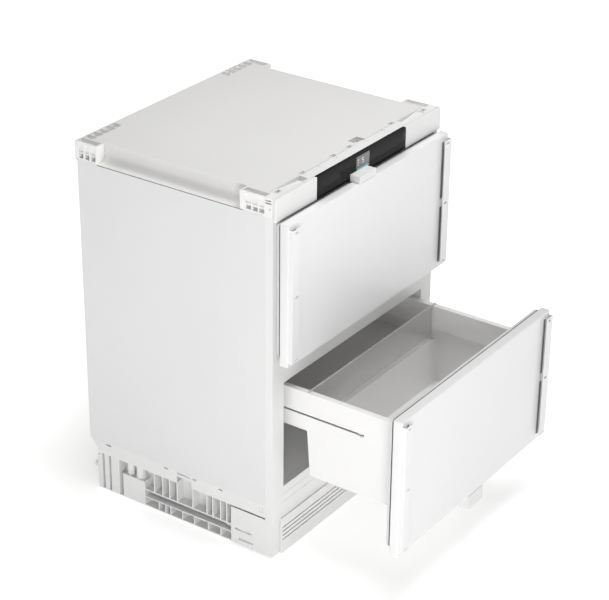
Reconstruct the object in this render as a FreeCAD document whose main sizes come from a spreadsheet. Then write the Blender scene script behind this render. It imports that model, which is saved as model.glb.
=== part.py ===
import FreeCAD, Part
import Sketcher
import math
import os
import re

# A built-in two-drawer refrigerator for under a worktop, without its furniture fronts.
# Millimetres. X runs across the width, the front faces -Y and +Z is up. The origin is on
# the floor, in the middle of the width, in the plane of the cabinet's front frame.
# The lower drawer is modelled pulled out, the upper drawer shut.

doc = FreeCAD.newDocument("under_counter_fridge")
sheet = doc.addObject("Spreadsheet::Sheet", "sizes")

dimensions = (
    ("cabinetWidth", 597.0, "outer width over the steel sides"),
    ("cabinetHeight", 820.0, "floor to top of the lid, feet screwed in"),
    ("cabinetDepth", 490.0, "front frame to back panel"),
    ("sheetThickness", 1.0, "steel sheet"),
    ("plasticWall", 2.0, "moulded plastic wall"),
    ("lidHeight", 40.0, "raised top above the steel sides"),
    ("lidInset", 25.0, "lid side to steel side"),
    ("lidFlange", 2.0, "lid edge that lies on the steel sides"),
    ("lidHollow", 16.0, "hollow radius between lid side and its edge"),
    ("carrierDepth", 25.0, "top strip that carries the fascia"),
    ("fasciaHeight", 48.0, "control fascia"),
    ("fasciaDepth", 7.4, "fascia in front of the frame"),
    ("glassWidth", 322.0, "black control glass"),
    ("displayWidth", 48.0, "display window"),
    ("displayHeight", 33.0, "display window"),
    ("bracketLength", 78.0, "front top corner bracket along the side"),
    ("rearBracketLength", 53.0, "rear top corner bracket along the side"),
    ("rearArm", 100.0, "rear top corner bracket along the back"),
    ("bracketPocket", 11.0, "width of the square pockets"),
    ("pocketPitch", 16.0, "pocket to pocket"),
    ("tieDepth", 12.0, "depth of a pocket"),
    ("baseHeight", 126.0, "floor to the lower edge of the steel sides"),
    ("skirtHeight", 33.0, "smooth skirt at the top of the base frame"),
    ("frameBottom", 86.0, "floor to the front frame"),
    ("frameThickness", 18.0, "front frame along the depth"),
    ("stileWidth", 39.0, "front frame beside the openings"),
    ("railGroove", 2.0, "groove in the bottom rail"),
    ("shadowGap", 1.0, "fascia to upper drawer front"),
    ("lowerDoorBottom", 121.0, "floor to lower drawer front"),
    ("doorSpacing", 31.0, "between the two drawer fronts"),
    ("doorInset", 6.5, "drawer front narrower than the cabinet, each side"),
    ("doorGap", 12.8, "back of a drawer front to the frame, filled by the gasket"),
    ("doorThickness", 19.5, "drawer front"),
    ("lowerLap", 39.0, "drawer front below its opening"),
    ("upperLap", 25.5, "drawer front above its opening"),
    ("gasketWidth", 22.0, "gasket across"),
    ("gasketClearance", 0.5, "gasket to frame"),
    ("stripWidth", 24.0, "furniture strip across"),
    ("stripDepth", 9.2, "furniture strip in front of the sheet"),
    ("stripMargin", 10.5, "strip end to the end of the drawer front"),
    ("stripThickness", 1.5, "furniture strip metal"),
    ("slotLength", 10.0, "fixing slot in the strip"),
    ("slotWidth", 4.5, "fixing slot in the strip"),
    ("slotInset", 7.0, "end slots from the strip's ends"),
    ("tabWidth", 59.0, "alignment tab across"),
    ("tabDepth", 24.0, "alignment tab along the depth"),
    ("upperTabHeight", 15.0, "alignment tab above the upper front"),
    ("lowerTabHeight", 33.0, "alignment tab below the lower front"),
    ("upperTabOffset", 17.5, "upper tab left of the middle"),
    ("lowerTabOffset", 13.0, "lower tab right of the middle"),
    ("lowerPull", 268.4, "how far the lower drawer stands open"),
    ("linerWall", 2.0, "cabinet liner wall"),
    ("backFoam", 50.0, "liner back wall to the outside of the back"),
    ("ductDepth", 26.0, "air duct in front of the liner's back wall"),
    ("binSideGap", 16.0, "drawer box to liner, each side"),
    ("rimGap", 16.0, "opening's top to the drawer box rim"),
    ("rimWidth", 11.0, "double side wall of a drawer box"),
    ("lowerFloorGap", 37.0, "opening's sill to the lower drawer box"),
    ("upperFloorGap", 18.0, "opening's sill to the upper drawer box"),
    ("wellDepth", 234.8, "deep well behind the drawer front"),
    ("wellDraft", 8.0, "lean of the well's back wall"),
    ("stepRise", 135.0, "liner step over the compressor, above the sill"),
    ("stepFront", 262.0, "front of that step behind the frame"),
    ("stepClearance", 6.0, "lower drawer box above the step"),
    ("binRearGap", 10.0, "drawer box to the air duct"),
    ("slideHeight", 52.0, "side wall cavity for the slide"),
    ("slideMetal", 2.5, "slide member thickness"),
    ("slideClearance", 0.5, "between slide members"),
    ("slotHeight", 4.0, "slot in the drawer side for the slide's leg"),
    ("slotFront", 85.0, "front end of that slot, drawer shut"),
    ("slideLength", 340.0, "slide member"),
    ("dividerHeight", 74.0, "divider plate"),
    ("dividerThickness", 4.0, "divider plate"),
    ("dividerPlace", 218.0, "divider behind the frame, drawer shut"),
    ("frameFoot", 4.0, "base frame above the floor"),
    ("baseDepth", 40.0, "base frame inward from the side"),
    ("baseBackInset", 19.0, "back of the base in front of the back panel"),
    ("footBracketLength", 107.0, "front foot bracket along the side"),
    ("footBracketTop", 91.0, "floor to the front foot bracket's top"),
    ("ribThickness", 2.5, "base frame rib"),
    ("footRadius", 16.0, "foot pad"),
    ("footHeight", 9.0, "foot pad"),
    ("spindleRadius", 6.0, "foot spindle"),
    ("spindleTop", 74.0, "floor to the top of the spindle"),
    ("spindleClearance", 0.05, "spindle in its nut, on the radius"),
    ("frontFootPlace", 60.0, "front feet behind the frame"),
    ("rearFootPlace", 62.0, "rear feet in front of the back panel"),
    ("footInset", 44.0, "feet in from the sides"),
    ("rodRadius", 4.0, "rear foot adjusting rod"),
    ("rodHeight", 37.0, "rod above the floor"),
    ("rodInset", 13.0, "rod in from the side"),
    ("plinthThickness", 8.0, "air grille"),
    ("plinthLead", 4.0, "air grille in front of the frame"),
    ("louvreSlot", 3.5, "slot of the air grille"),
    ("louvrePitch", 10.0, "slot to slot"),
    ("louvreStart", 31.5, "floor to the lowest slot"),
    ("trayHeight", 14.0, "compressor tray above the floor"),
    ("compressorRadius", 74.0, "compressor shell"),
    ("compressorHeight", 165.0, "compressor shell"),
    ("compressorSide", 120.0, "compressor off the middle"),
    ("mountHeight", 12.0, "rubber mount under the compressor"),
    ("coilRadius", 2.6, "condenser tube"),
    ("coilPitch", 22.0, "condenser tube rows"),
    ("fanRadius", 44.0, "circulation fan"),
    ("ledLength", 300.0, "light bar"),
)

names = set()
for row, (alias, value, note) in enumerate(dimensions, start=1):
    sheet.set("A%d" % row, note)
    sheet.set("B%d" % row, str(value))
    sheet.setAlias("B%d" % row, alias)
    names.add(alias)
doc.recompute()

nodes = []


def size(name):
    """Value of one named size, for picking edges by place."""
    return float(sheet.get(name))


def bound(text):
    """Point each size's name in an expression at the sheet."""
    return re.sub(r"[A-Za-z]\w*", lambda word: ("sizes." if word.group() in names else "") + word.group(),
                  text)


def bind(piece, **values):
    """Bind properties of a piece to expressions in the sheet's sizes."""
    for name, text in values.items():
        piece.setExpression(name, bound(str(text)))
    return piece


def place(piece, x="0", y="0", z="0"):
    for axis, text in (("x", x), ("y", y), ("z", z)):
        piece.setExpression("Placement.Base." + axis, bound(str(text)))
    return piece


def block(name, x, y, z):
    """A box from the low and high expression of each axis."""
    piece = doc.addObject("Part::Box", name)
    bind(piece, Length=f"({x[1]}) - ({x[0]})", Width=f"({y[1]}) - ({y[0]})", Height=f"({z[1]}) - ({z[0]})")
    return place(piece, x[0], y[0], z[0])


def sideBlock(name, side, x, y, z):
    """A box on one side: x gives its inner and outer distance from the middle."""
    low, high = x if side > 0 else (f"-({x[1]})", f"-({x[0]})")
    return block(name, (low, high), y, z)


def bar(name, axis, x, y, z, radius, length):
    """A round bar along X, Y or Z from its start point."""
    piece = doc.addObject("Part::Cylinder", name)
    bind(piece, Radius=radius, Height=length)
    turns = {"x": ((0, 1, 0), 90), "y": ((1, 0, 0), -90), "z": ((0, 0, 1), 0)}
    piece.Placement.Rotation = FreeCAD.Rotation(FreeCAD.Vector(*turns[axis][0]), turns[axis][1])
    return place(piece, x, y, z)


def obround(name, x, y, z):
    """A fixing slot along X through the front metal of a furniture strip."""
    reach = "(slotLength - slotWidth) / 2"
    ends = [bar(f"{name}_end_{index}", "y", f"{x} + {sign} * {reach}", y, z, "slotWidth / 2",
                "stripThickness + 2")
            for index, sign in enumerate((-1, 1))]
    middle = block(f"{name}_middle", (f"{x} - {reach}", f"{x} + {reach}"), (y, f"{y} + stripThickness + 2"),
                   (f"{z} - slotWidth / 2", f"{z} + slotWidth / 2"))
    return fused(name, ends + [middle])


def fused(name, pieces):
    piece = doc.addObject("Part::MultiFuse", name)
    piece.Shapes = pieces
    piece.Refine = True
    return piece


def cut(name, base, tools):
    piece = doc.addObject("Part::Cut", name)
    piece.Base = base
    piece.Tool = tools[0] if len(tools) == 1 else fused(name + "_tools", tools)
    piece.Refine = True
    return piece


def group(name, pieces):
    """Separate solids that share one node."""
    piece = doc.addObject("Part::Compound", name)
    piece.Links = pieces
    return piece


def mirrored(name, source):
    piece = doc.addObject("Part::Mirroring", name)
    piece.Source = source
    piece.Normal = FreeCAD.Vector(1, 0, 0)
    return piece


def node(piece, label):
    piece.Label = label
    nodes.append(piece)
    return piece


def plane(body, role):
    return next(item for item in body.Origin.OriginFeatures if item.Role == role)


def outline(body, name, role, corners, offset="0"):
    """A closed sketch through corners given as pairs of expressions."""
    sketch = body.newObject("Sketcher::SketchObject", name)
    sketch.AttachmentSupport = [(plane(body, role), "")]
    sketch.MapMode = "FlatFace"
    sketch.setExpression("AttachmentOffset.Base.z", bound(offset))
    count = len(corners)
    ring = [FreeCAD.Vector(math.cos(2 * math.pi * i / count), math.sin(2 * math.pi * i / count), 0) * 100
            for i in range(count)]
    for i in range(count):
        sketch.addGeometry(Part.LineSegment(ring[i], ring[(i + 1) % count]), False)
    for i in range(count):
        sketch.addConstraint(Sketcher.Constraint("Coincident", i, 2, (i + 1) % count, 1))
    for i, corner in enumerate(corners):
        for kind, seed, text in zip(("DistanceX", "DistanceY"), ring[i], corner):
            index = sketch.addConstraint(Sketcher.Constraint(kind, -1, 1, i, 1, seed))
            sketch.setExpression("Constraints[%d]" % index, bound(str(text)))
    return sketch


def pad(body, name, sketch, length, symmetric=False, reverse=False):
    feature = body.newObject("PartDesign::Pad", name)
    feature.Profile = sketch
    feature.setExpression("Length", bound(length))
    feature.Midplane = symmetric
    feature.Reversed = reverse
    return feature


def prism(name, role, corners, length, symmetric=True, offset="0", reverse=False):
    body = doc.addObject("PartDesign::Body", name)
    pad(body, name + "_pad", outline(body, name + "_outline", role, corners, offset), length, symmetric,
        reverse)
    return body


def turned(name, corners, x, y):
    """A body of revolution about a vertical axis, from (radius, height) corners."""
    body = doc.addObject("PartDesign::Body", name)
    feature = body.newObject("PartDesign::Revolution", name + "_turn")
    feature.Profile = outline(body, name + "_outline", "XZ_Plane", corners)
    feature.ReferenceAxis = (plane(body, "Z_Axis"), [""])
    feature.Angle = 360
    return place(body, x, y)


def rounded(body, name, picks, radius):
    """Round the edges of a body's tip that picks accepts."""
    doc.recompute()
    feature = body.newObject("PartDesign::Fillet", name)
    tip = body.Group[-2]
    edges = ["Edge%d" % (i + 1) for i, edge in enumerate(tip.Shape.Edges) if picks(edge)]
    feature.Base = (tip, edges)
    feature.setExpression("Radius", bound(radius))
    return body


def parallel(edge, axis):
    ends = edge.Vertexes
    return len(ends) == 2 and abs((ends[1].Point - ends[0].Point).normalize().dot(axis)) > 0.999


# ---- places worked out from the sizes ----
half = "cabinetWidth / 2"
back = "cabinetDepth"
lidBottom = "(cabinetHeight - lidHeight)"
fasciaBottom = "(cabinetHeight - fasciaHeight)"
upperTop = f"({fasciaBottom} - shadowGap)"
doorHeight = f"(({upperTop} - lowerDoorBottom - doorSpacing) / 2)"
lowerTop = f"(lowerDoorBottom + {doorHeight})"
upperBottom = f"({lowerTop} + doorSpacing)"
openingHalf = "(cabinetWidth / 2 - stileWidth)"
lowerSill = "(lowerDoorBottom + lowerLap)"
lowerHead = f"({lowerTop} - upperLap)"
upperSill = f"({upperBottom} + lowerLap)"
upperHead = f"({upperTop} - upperLap)"
linerBack = "(cabinetDepth - backFoam)"
stepTop = f"({lowerSill} + stepRise)"
binHalf = f"({openingHalf} - binSideGap)"
binRear = f"({linerBack} - ductDepth - binRearGap)"
baseBack = "(cabinetDepth - baseBackInset)"
screwPlaces = ("-glassWidth / 2 + 1", "-glassWidth / 2 + 106", "3", "glassWidth / 2 - 2")
X, Y, Z = FreeCAD.Vector(1, 0, 0), FreeCAD.Vector(0, 1, 0), FreeCAD.Vector(0, 0, 1)


def steelCase():
    """Steel sides with a front return, bottom and back sheets."""
    for side, word in ((-1, "left"), (1, "right")):
        wall = sideBlock(f"sheet_{word}", side, (f"{half} - sheetThickness", half),
                         ("frameThickness", back), ("baseHeight", lidBottom))
        fold = sideBlock(f"fold_{word}", side, (f"{half} - 12", half),
                         (f"{back} - sheetThickness", back), ("baseHeight", lidBottom))
        node(fused(f"side_{word}", [wall, fold]), f"side_panel_{word}")
    inner = f"({half} - 12)"
    node(block("back_sheet", (f"-{inner} + 0.2", f"{inner} - 0.2"), (f"{back} - sheetThickness", back),
               (f"{stepTop} - 20", lidBottom)), "back_panel")
    floor = block("floor_sheet", (f"-{half} + plasticWall", f"{half} - plasticWall"),
                  ("frameThickness", f"{back} - sheetThickness"),
                  ("baseHeight - sheetThickness", "baseHeight"))
    bay = block("floor_bay", (f"-{openingHalf}", openingHalf), ("stepFront + 28", back),
                ("baseHeight - 10", "baseHeight + 10"))
    node(cut("floor", floor, [bay]), "bottom_panel")


def frontFrame():
    """One moulding round both openings, with two grooves along its bottom rail."""
    plate = prism("frame_plate", "XZ_Plane",
                  ((f"-{half}", "frameBottom"), (half, "frameBottom"), (half, fasciaBottom),
                   (f"-{half}", fasciaBottom)), "frameThickness", symmetric=False, reverse=True)
    through = ("-5", "frameThickness + 5")
    tools = [block("lower_window", (f"-{openingHalf}", openingHalf), through, (lowerSill, lowerHead)),
             block("upper_window", (f"-{openingHalf}", openingHalf), through, (upperSill, upperHead))]
    for index, drop in enumerate(("19", "38")):
        tools.append(block(f"rail_groove_{index}", (f"-{openingHalf} - 10", f"{openingHalf} + 10"),
                           ("-1", "0.8"), (f"{lowerSill} - {drop}", f"{lowerSill} - {drop} + railGroove")))
    node(cut("frame_cut", plate, tools), "front_frame")


def liners():
    """Two white tubs, the lower one stepped over the compressor, and the foam round them."""
    cavities = []
    for word, sill, head in (("upper", upperSill, upperHead), ("lower", lowerSill, lowerHead)):
        outer = block(f"{word}_tub", (f"-{openingHalf} - linerWall", f"{openingHalf} + linerWall"),
                      ("frameThickness", f"{linerBack} + linerWall"),
                      (f"{sill} - linerWall", f"{head} + linerWall"))
        inner = block(f"{word}_hollow", (f"-{openingHalf}", openingHalf), ("-1", linerBack), (sill, head))
        if word == "lower":
            outerStep = block("step_outer", (f"-{openingHalf} - 20", f"{openingHalf} + 20"),
                              ("stepFront + linerWall", f"{linerBack} + 20"),
                              (f"{sill} - 20", f"{stepTop} - linerWall"))
            innerStep = block("step_inner", (f"-{openingHalf} - 20", f"{openingHalf} + 20"),
                              ("stepFront", f"{linerBack} + 20"), (f"{sill} - 20", stepTop))
            outer = cut("lower_tub_step", outer, [outerStep])
            inner = cut("lower_hollow_step", inner, [innerStep])
        cavities.append(outer)
        node(cut(f"{word}_liner_cut", outer, [inner]), f"{word}_liner")
    core = block("foam_block", (f"-{half} + sheetThickness", f"{half} - sheetThickness"),
                 ("frameThickness", f"{back} - sheetThickness"), ("baseHeight", f"{lidBottom} - plasticWall"))
    bay = block("foam_bay", (f"-{half} - 5", f"{half} + 5"), ("stepFront + 28", f"{back} + 5"),
                ("baseHeight - 5", f"{stepTop} - 30"))
    node(cut("foam_cut", core, cavities + [bay]), "foam_insulation")


def lid():
    """The raised top with hollow sides, notched for the corner brackets, screws and cable."""
    wide, inset = f"({half} - 0.3)", f"({half} - lidInset)"
    edge = f"({lidBottom} + lidFlange)"
    corners = ((f"-{wide}", lidBottom), (wide, lidBottom), (wide, edge), (inset, edge),
               (inset, "cabinetHeight"), (f"-{inset}", "cabinetHeight"), (f"-{inset}", edge),
               (f"-{wide}", edge))
    body = prism("lid_block", "XZ_Plane", corners, f"{back} + 5 - carrierDepth - 0.8", symmetric=False,
                 offset="-(carrierDepth + 0.8)", reverse=True)
    rise = size("cabinetHeight") - size("lidHeight") + size("lidFlange")
    side = size("cabinetWidth") / 2 - size("lidInset")
    rounded(body, "lid_hollow", lambda edge_: parallel(edge_, Y) and abs(edge_.CenterOfMass.z - rise) < 0.1
            and abs(abs(edge_.CenterOfMass.x) - side) < 0.1, "lidHollow")
    tools = []
    for side, word in ((-1, "left"), (1, "right")):
        tools.append(sideBlock(f"lid_notch_{word}", side,
                               (f"{half} - rearArm - lidInset - 0.5", f"{half} + 1"),
                               (f"{back} - 24.5", f"{back} + 10"),
                               ("cabinetHeight - 20.5", "cabinetHeight + 5")))
        tools.append(sideBlock(f"lid_rear_{word}", side, (f"{inset} - 0.1", f"{half} + 1"),
                               (f"{back} - rearBracketLength - 0.5", f"{back} + 10"),
                               (edge, "cabinetHeight + 5")))
        tools.append(sideBlock(f"lid_front_{word}", side, (f"{inset} - 0.1", f"{half} + 1"),
                               ("carrierDepth", "bracketLength + 0.5"), (edge, "cabinetHeight + 5")))
    for index, x in enumerate(screwPlaces):
        tools.append(block(f"lid_lug_{index}", (f"{x} - 7", f"{x} + 7"), ("carrierDepth", "carrierDepth + 8"),
                           ("cabinetHeight - 12", "cabinetHeight + 1")))
    tools.append(block("cable_recess", ("displayWidth / 2 + 2", "displayWidth / 2 + 33"),
                       ("carrierDepth", "carrierDepth + 22"), ("cabinetHeight - 12", "cabinetHeight + 1")))
    node(cut("lid_cut", body, tools), "top_lid")


def cornerBrackets():
    """Moulded corners beside the lid, with square pockets, cells and slots."""
    outer, inner = half, f"({half} - lidInset + 0.5)"
    edge = f"({lidBottom} + lidFlange)"
    start = f"({back} - rearBracketLength)"
    rear = [block("rear_arm_side", (f"-{outer}", f"-{inner}"), (start, f"{back} + 5"),
                  (edge, "cabinetHeight")),
            block("rear_arm_back", (f"-{outer}", f"-{outer} + lidInset + rearArm"),
                  (f"{back} - 24", f"{back} + 5"),
                  ("cabinetHeight - 20", "cabinetHeight"))]
    tools = []
    for index in range(3):
        low = f"({start} + 3.5 + {index} * pocketPitch)"
        span = (low, f"{low} + bracketPocket")
        tools.append(block(f"rear_pocket_{index}", (f"-{outer} - 1", f"-{outer} + tieDepth"), span,
                           (f"{edge} + 3", f"{edge} + 3 + bracketPocket")))
        tools.append(block(f"rear_cell_{index}", (f"-{outer} - 1", f"-{outer} + 2"), span,
                           (f"{edge} + 17", "cabinetHeight - 4")))
    tools.append(block("rear_side_top", (f"-{outer} + 4.5", f"-{outer} + lidInset - 4"),
                       (f"{start} + 3", f"{back} + 2"),
                       ("cabinetHeight - 9", "cabinetHeight + 1")))
    pitch = "((rearArm - 1) / 5)"
    for index in range(5):
        low = f"(-{outer} + lidInset - 1 + {index} * {pitch})"
        tools.append(block(f"rear_top_{index}", (low, f"{low} + {pitch} - 2.5"),
                           (f"{back} - 21.5", f"{back} + 3"),
                           ("cabinetHeight - 9", "cabinetHeight + 1")))
    left = cut("rear_left_cut", fused("rear_left_block", rear), tools)
    node(left, "rear_left_bracket")
    node(mirrored("rear_right", left), "rear_right_bracket")
    front = [block("front_arm", (f"-{outer}", f"-{inner}"), ("0.2", "carrierDepth"),
                   (lidBottom, "cabinetHeight")),
             block("front_arm_long", (f"-{outer}", f"-{inner}"), ("carrierDepth", "bracketLength"),
                   (edge, "cabinetHeight"))]
    tools = []
    for index in range(3):
        low = f"(20 + {index} * (pocketPitch - 0.5))"
        span = (low, f"{low} + bracketPocket + 1.5")
        tools.append(block(f"front_pocket_{index}", (f"-{outer} - 1", f"-{outer} + tieDepth"), span,
                           (f"{edge} + 3", f"{edge} + 12")))
        tools.append(block(f"front_cell_{index}", (f"-{outer} - 1", f"-{outer} + 2"), span,
                           (f"{edge} + 16", "cabinetHeight - 4")))
    tools.append(block("front_side_top", (f"-{outer} + 4.5", f"-{outer} + 20"), ("20", "bracketLength - 3"),
                       ("cabinetHeight - 9", "cabinetHeight + 1")))
    for index in range(2):
        tools.append(block(f"front_slot_{index}", (f"-{outer} - 1", f"-{outer} + 9"), ("3.5", "17.5"),
                           (f"cabinetHeight - 12.5 + {index} * 5.5", f"cabinetHeight - 9.5 + {index} * 5.5")))
    tools.append(bar("front_pin_hole", "x", f"-{outer} - 1", "6.5", f"{lidBottom} + 17", "1.6", "8"))
    left = cut("front_left_cut", fused("front_left_all", front), tools)
    node(left, "front_left_bracket")
    node(mirrored("front_right", left), "front_right_bracket")


def fascia():
    """Top strip, fascia ends, black glass, display and the strip's screws."""
    inner = f"({half} - lidInset + 0.5)"
    strip = [block("strip_block", (f"-{inner}", inner), ("0", "carrierDepth"), (lidBottom, "cabinetHeight")),
             block("strip_lower", (f"-{half}", half), ("0", "frameThickness"), (fasciaBottom, lidBottom)),
             block("strip_tongue", ("displayWidth / 2 + 14", "displayWidth / 2 + 30"),
                   ("carrierDepth - 1", "carrierDepth + 6"),
                   ("cabinetHeight - 10", "cabinetHeight - 3"))]
    for index, x in enumerate(screwPlaces):
        strip.append(block(f"strip_lug_{index}", (f"{x} - 6.2", f"{x} + 6.2"),
                           ("carrierDepth - 1", "carrierDepth + 7.2"),
                           ("cabinetHeight - 11", "cabinetHeight - 1.5")))
    tools = []
    for side, word in ((-1, "left"), (1, "right")):
        ramp = prism(f"strip_ramp_{word}", "XZ_Plane",
                     ((f"{side} * (glassWidth / 2 + 15)", "cabinetHeight + 1"),
                      (f"{side} * (glassWidth / 2 + 15)", "cabinetHeight - 9"),
                      (f"{side} * ({half} - 47)", "cabinetHeight - 2"),
                      (f"{side} * ({half} - 47)", "cabinetHeight + 1")),
                     "carrierDepth - 5", symmetric=False, offset="-4", reverse=True)
        tools.append(ramp)
        tools.append(sideBlock(f"strip_step_{word}", side, (f"{half} - 44", f"{half} - 30"), ("11", "19"),
                               ("cabinetHeight - 6", "cabinetHeight + 1")))
    for index, x in enumerate(("-glassWidth * 0.36", "-glassWidth * 0.18", "glassWidth * 0.155",
                               "glassWidth * 0.357")):
        tools.append(block(f"strip_tick_{index}", (x, f"{x} + 1.2"),
                           ("carrierDepth - 10", "carrierDepth + 1"),
                           ("cabinetHeight - 2", "cabinetHeight + 1")))
    for index, x in enumerate(screwPlaces):
        tools.append(bar(f"strip_bore_{index}", "z", x, "carrierDepth + 2", "cabinetHeight - 9.5", "2", "20"))
        tools.append(bar(f"strip_sink_{index}", "z", x, "carrierDepth + 2", "cabinetHeight - 1.5", "3.8",
                         "3"))
    node(cut("strip_cut", fused("strip_all", strip), tools), "fascia_carrier")
    screws = []
    for index, x in enumerate(screwPlaces):
        shank = bar(f"screw_shank_{index}", "z", x, "carrierDepth + 2", "cabinetHeight - 9", "1.9", "7.6")
        head = bar(f"screw_head_{index}", "z", x, "carrierDepth + 2", "cabinetHeight - 1.5", "3.4", "1.4")
        screws.append(fused(f"screw_{index}", [shank, head]))
    node(group("screw_group", screws), "carrier_screws")
    face = ("-fasciaDepth", "0")
    tall = (fasciaBottom, "cabinetHeight")
    frame = block("fascia_block", (f"-{half} + 1", f"{half} - 1"), face, tall)
    window = block("fascia_window", ("-glassWidth / 2", "glassWidth / 2"), ("-fasciaDepth - 1", "1"),
                   (f"{fasciaBottom} - 1", "cabinetHeight + 1"))
    ends = cut("fascia_cut", frame, [window])
    node(ends, "control_fascia")
    glass = block("glass_block", ("-glassWidth / 2", "glassWidth / 2"), face, tall)
    low = f"({fasciaBottom} + (fasciaHeight - displayHeight) / 2 + 2)"
    pocket = block("display_pocket", ("-displayWidth / 2", "displayWidth / 2"),
                   ("-fasciaDepth - 1", "-fasciaDepth + 2"),
                   (low, f"{low} + displayHeight"))
    node(cut("glass_cut", glass, [pocket]), "control_glass")
    node(block("display_block", ("-displayWidth / 2", "displayWidth / 2"),
               ("-fasciaDepth + 0.2", "-fasciaDepth + 2"),
               (low, f"{low} + displayHeight")), "display")


def drawerFront(word, bottom, top, shift):
    """Steel pan, insulated core, gasket, the two furniture strips and the alignment tab."""
    wide = f"({half} - doorInset)"
    rear, front = f"(-doorGap - {shift})", f"(-doorGap - doorThickness - {shift})"
    pan = block(f"{word}_pan", (f"-{wide}", wide), (front, rear), (bottom, top))
    core = (f"-{wide} + sheetThickness", f"{wide} - sheetThickness")
    high = (f"{bottom} + sheetThickness", f"{top} - sheetThickness")
    hollow = block(f"{word}_pan_hollow", core, (f"{front} + sheetThickness", f"{rear} + 1"), high)
    node(cut(f"{word}_pan_cut", pan, [hollow]), f"{word}_front_panel")
    node(block(f"{word}_core", core, (f"{front} + sheetThickness", rear), high), f"{word}_front_core")
    seal = (rear, f"(-gasketClearance - {shift})")
    outerHalf, lift = f"({wide} - 5)", 14
    ring = block(f"{word}_seal", (f"-{outerHalf}", outerHalf), seal, (f"{bottom} + {lift}", f"{top} - 4"))
    inside = block(f"{word}_seal_hole", (f"-{outerHalf} + gasketWidth", f"{outerHalf} - gasketWidth"),
                   (f"{rear} - 1", "1"), (f"{bottom} + {lift} + gasketWidth", f"{top} - 4 - 16"))
    node(cut(f"{word}_seal_cut", ring, [inside]), f"{word}_gasket")
    low, high = f"({bottom} + stripMargin)", f"({top} - stripMargin)"
    outer = f"({wide} - 2)"
    face = (f"{front} - stripDepth", f"{front} - stripDepth + stripThickness")
    strips = []
    for side, hand in ((-1, "left"), (1, "right")):
        web = sideBlock(f"{word}_strip_web_{hand}", side, (f"{outer} - stripThickness", outer),
                        (f"{front} - stripDepth", front), (low, high))
        flange = sideBlock(f"{word}_strip_flange_{hand}", side, (f"{outer} - stripWidth", outer), face,
                           (low, high))
        foot = sideBlock(f"{word}_strip_foot_{hand}", side, (f"{outer} - 14", outer),
                         (f"{front} - stripThickness", front), (low, high))
        slots = []
        for index, z in enumerate((f"{low} + slotInset", f"({low} + {high}) / 2", f"{high} - slotInset")):
            slots.append(obround(f"{word}_slot_{hand}_{index}", f"{side} * ({outer} - 14)", f"{face[0]} - 1",
                                 z))
        strips.append(cut(f"{word}_strip_{hand}", fused(f"{word}_strip_all_{hand}", [web, flange, foot]),
                          slots))
    node(group(f"{word}_strip_group", strips), f"{word}_furniture_strips")


def tabs():
    """Hollow tabs that line up the furniture fronts."""
    front = "(-doorGap - doorThickness)"
    for word, middle, shift, z in (
            ("upper", "(-upperTabOffset)", "0", (upperTop, f"{upperTop} + upperTabHeight")),
            ("lower", "lowerTabOffset", "lowerPull",
             ("lowerDoorBottom - lowerTabHeight", "lowerDoorBottom"))):
        x = (f"{middle} - tabWidth / 2", f"{middle} + tabWidth / 2")
        y = (f"{front} - {shift}", f"{front} - {shift} + tabDepth")
        shell = block(f"{word}_tab_block", x, y, z)
        hollow = block(f"{word}_tab_hollow", (f"{x[0]} + 2", f"{x[1]} - 2"), (f"{y[0]} + 2", f"{y[1]} + 1"),
                       (f"{z[0]} + 2", f"{z[1]} - 2"))
        node(cut(f"{word}_tab_cut", shell, [hollow]), f"{word}_alignment_tab")


def binOutline(name, bottom, shallow, rim, shift, inset):
    """Side profile of a drawer box: a deep well in front, a shallow part behind."""
    front = f"(-doorGap - {shift} + {inset})"
    well = f"(-doorGap + wellDepth - {shift} - {inset})"
    rear = f"({binRear} - {shift} - {inset})"
    corners = [(front, f"{bottom} + {inset}"), (f"{well} - wellDraft", f"{bottom} + {inset}"),
               (well, f"{shallow} + {inset}"), (rear, f"{shallow} + {inset}"), (rear, rim), (front, rim)]
    if bottom == shallow:
        corners = [corners[0], (rear, f"{bottom} + {inset}"), corners[4], corners[5]]
    return corners


def drawerBox(word, bottom, shallow, head, shift):
    """A white tub with double side walls that hide the slides."""
    rim = f"({head} - rimGap)"
    ledge = f"({rim} - plasticWall - slideHeight)"
    rear = f"({binRear} - {shift})"
    outer = prism(f"{word}_bin_outer", "YZ_Plane", binOutline(word, bottom, shallow, rim, shift, "0"),
                  f"2 * {binHalf}")
    lower = prism(f"{word}_bin_lower", "YZ_Plane",
                  binOutline(word, bottom, shallow, f"{ledge} - plasticWall", shift, "plasticWall"),
                  f"2 * ({binHalf} - plasticWall)")
    upper = block(f"{word}_bin_upper",
                  (f"-{binHalf} + rimWidth + plasticWall", f"{binHalf} - rimWidth - plasticWall"),
                  (f"-doorGap - {shift} + plasticWall", f"{rear} - plasticWall"),
                  (f"{ledge} - plasticWall - 1", f"{rim} + 1"))
    tools = [lower, upper]
    for side, hand in ((-1, "left"), (1, "right")):
        tools.append(sideBlock(f"{word}_slide_room_{hand}", side,
                               (f"{binHalf} - rimWidth", f"{binHalf} - 1.5"),
                               (f"slotFront - 25 - {shift}", f"{rear} + 1"), (ledge, f"{rim} - plasticWall")))
        tools.append(sideBlock(f"{word}_slide_slot_{hand}", side, (f"{binHalf} - 3", f"{binHalf} + 1"),
                               (f"slotFront - {shift}", f"{rear} + 1"), (ledge, f"{ledge} + slotHeight")))
    node(cut(f"{word}_bin_cut", outer, tools), f"{word}_drawer_box")
    slides(word, ledge, shift)


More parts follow.
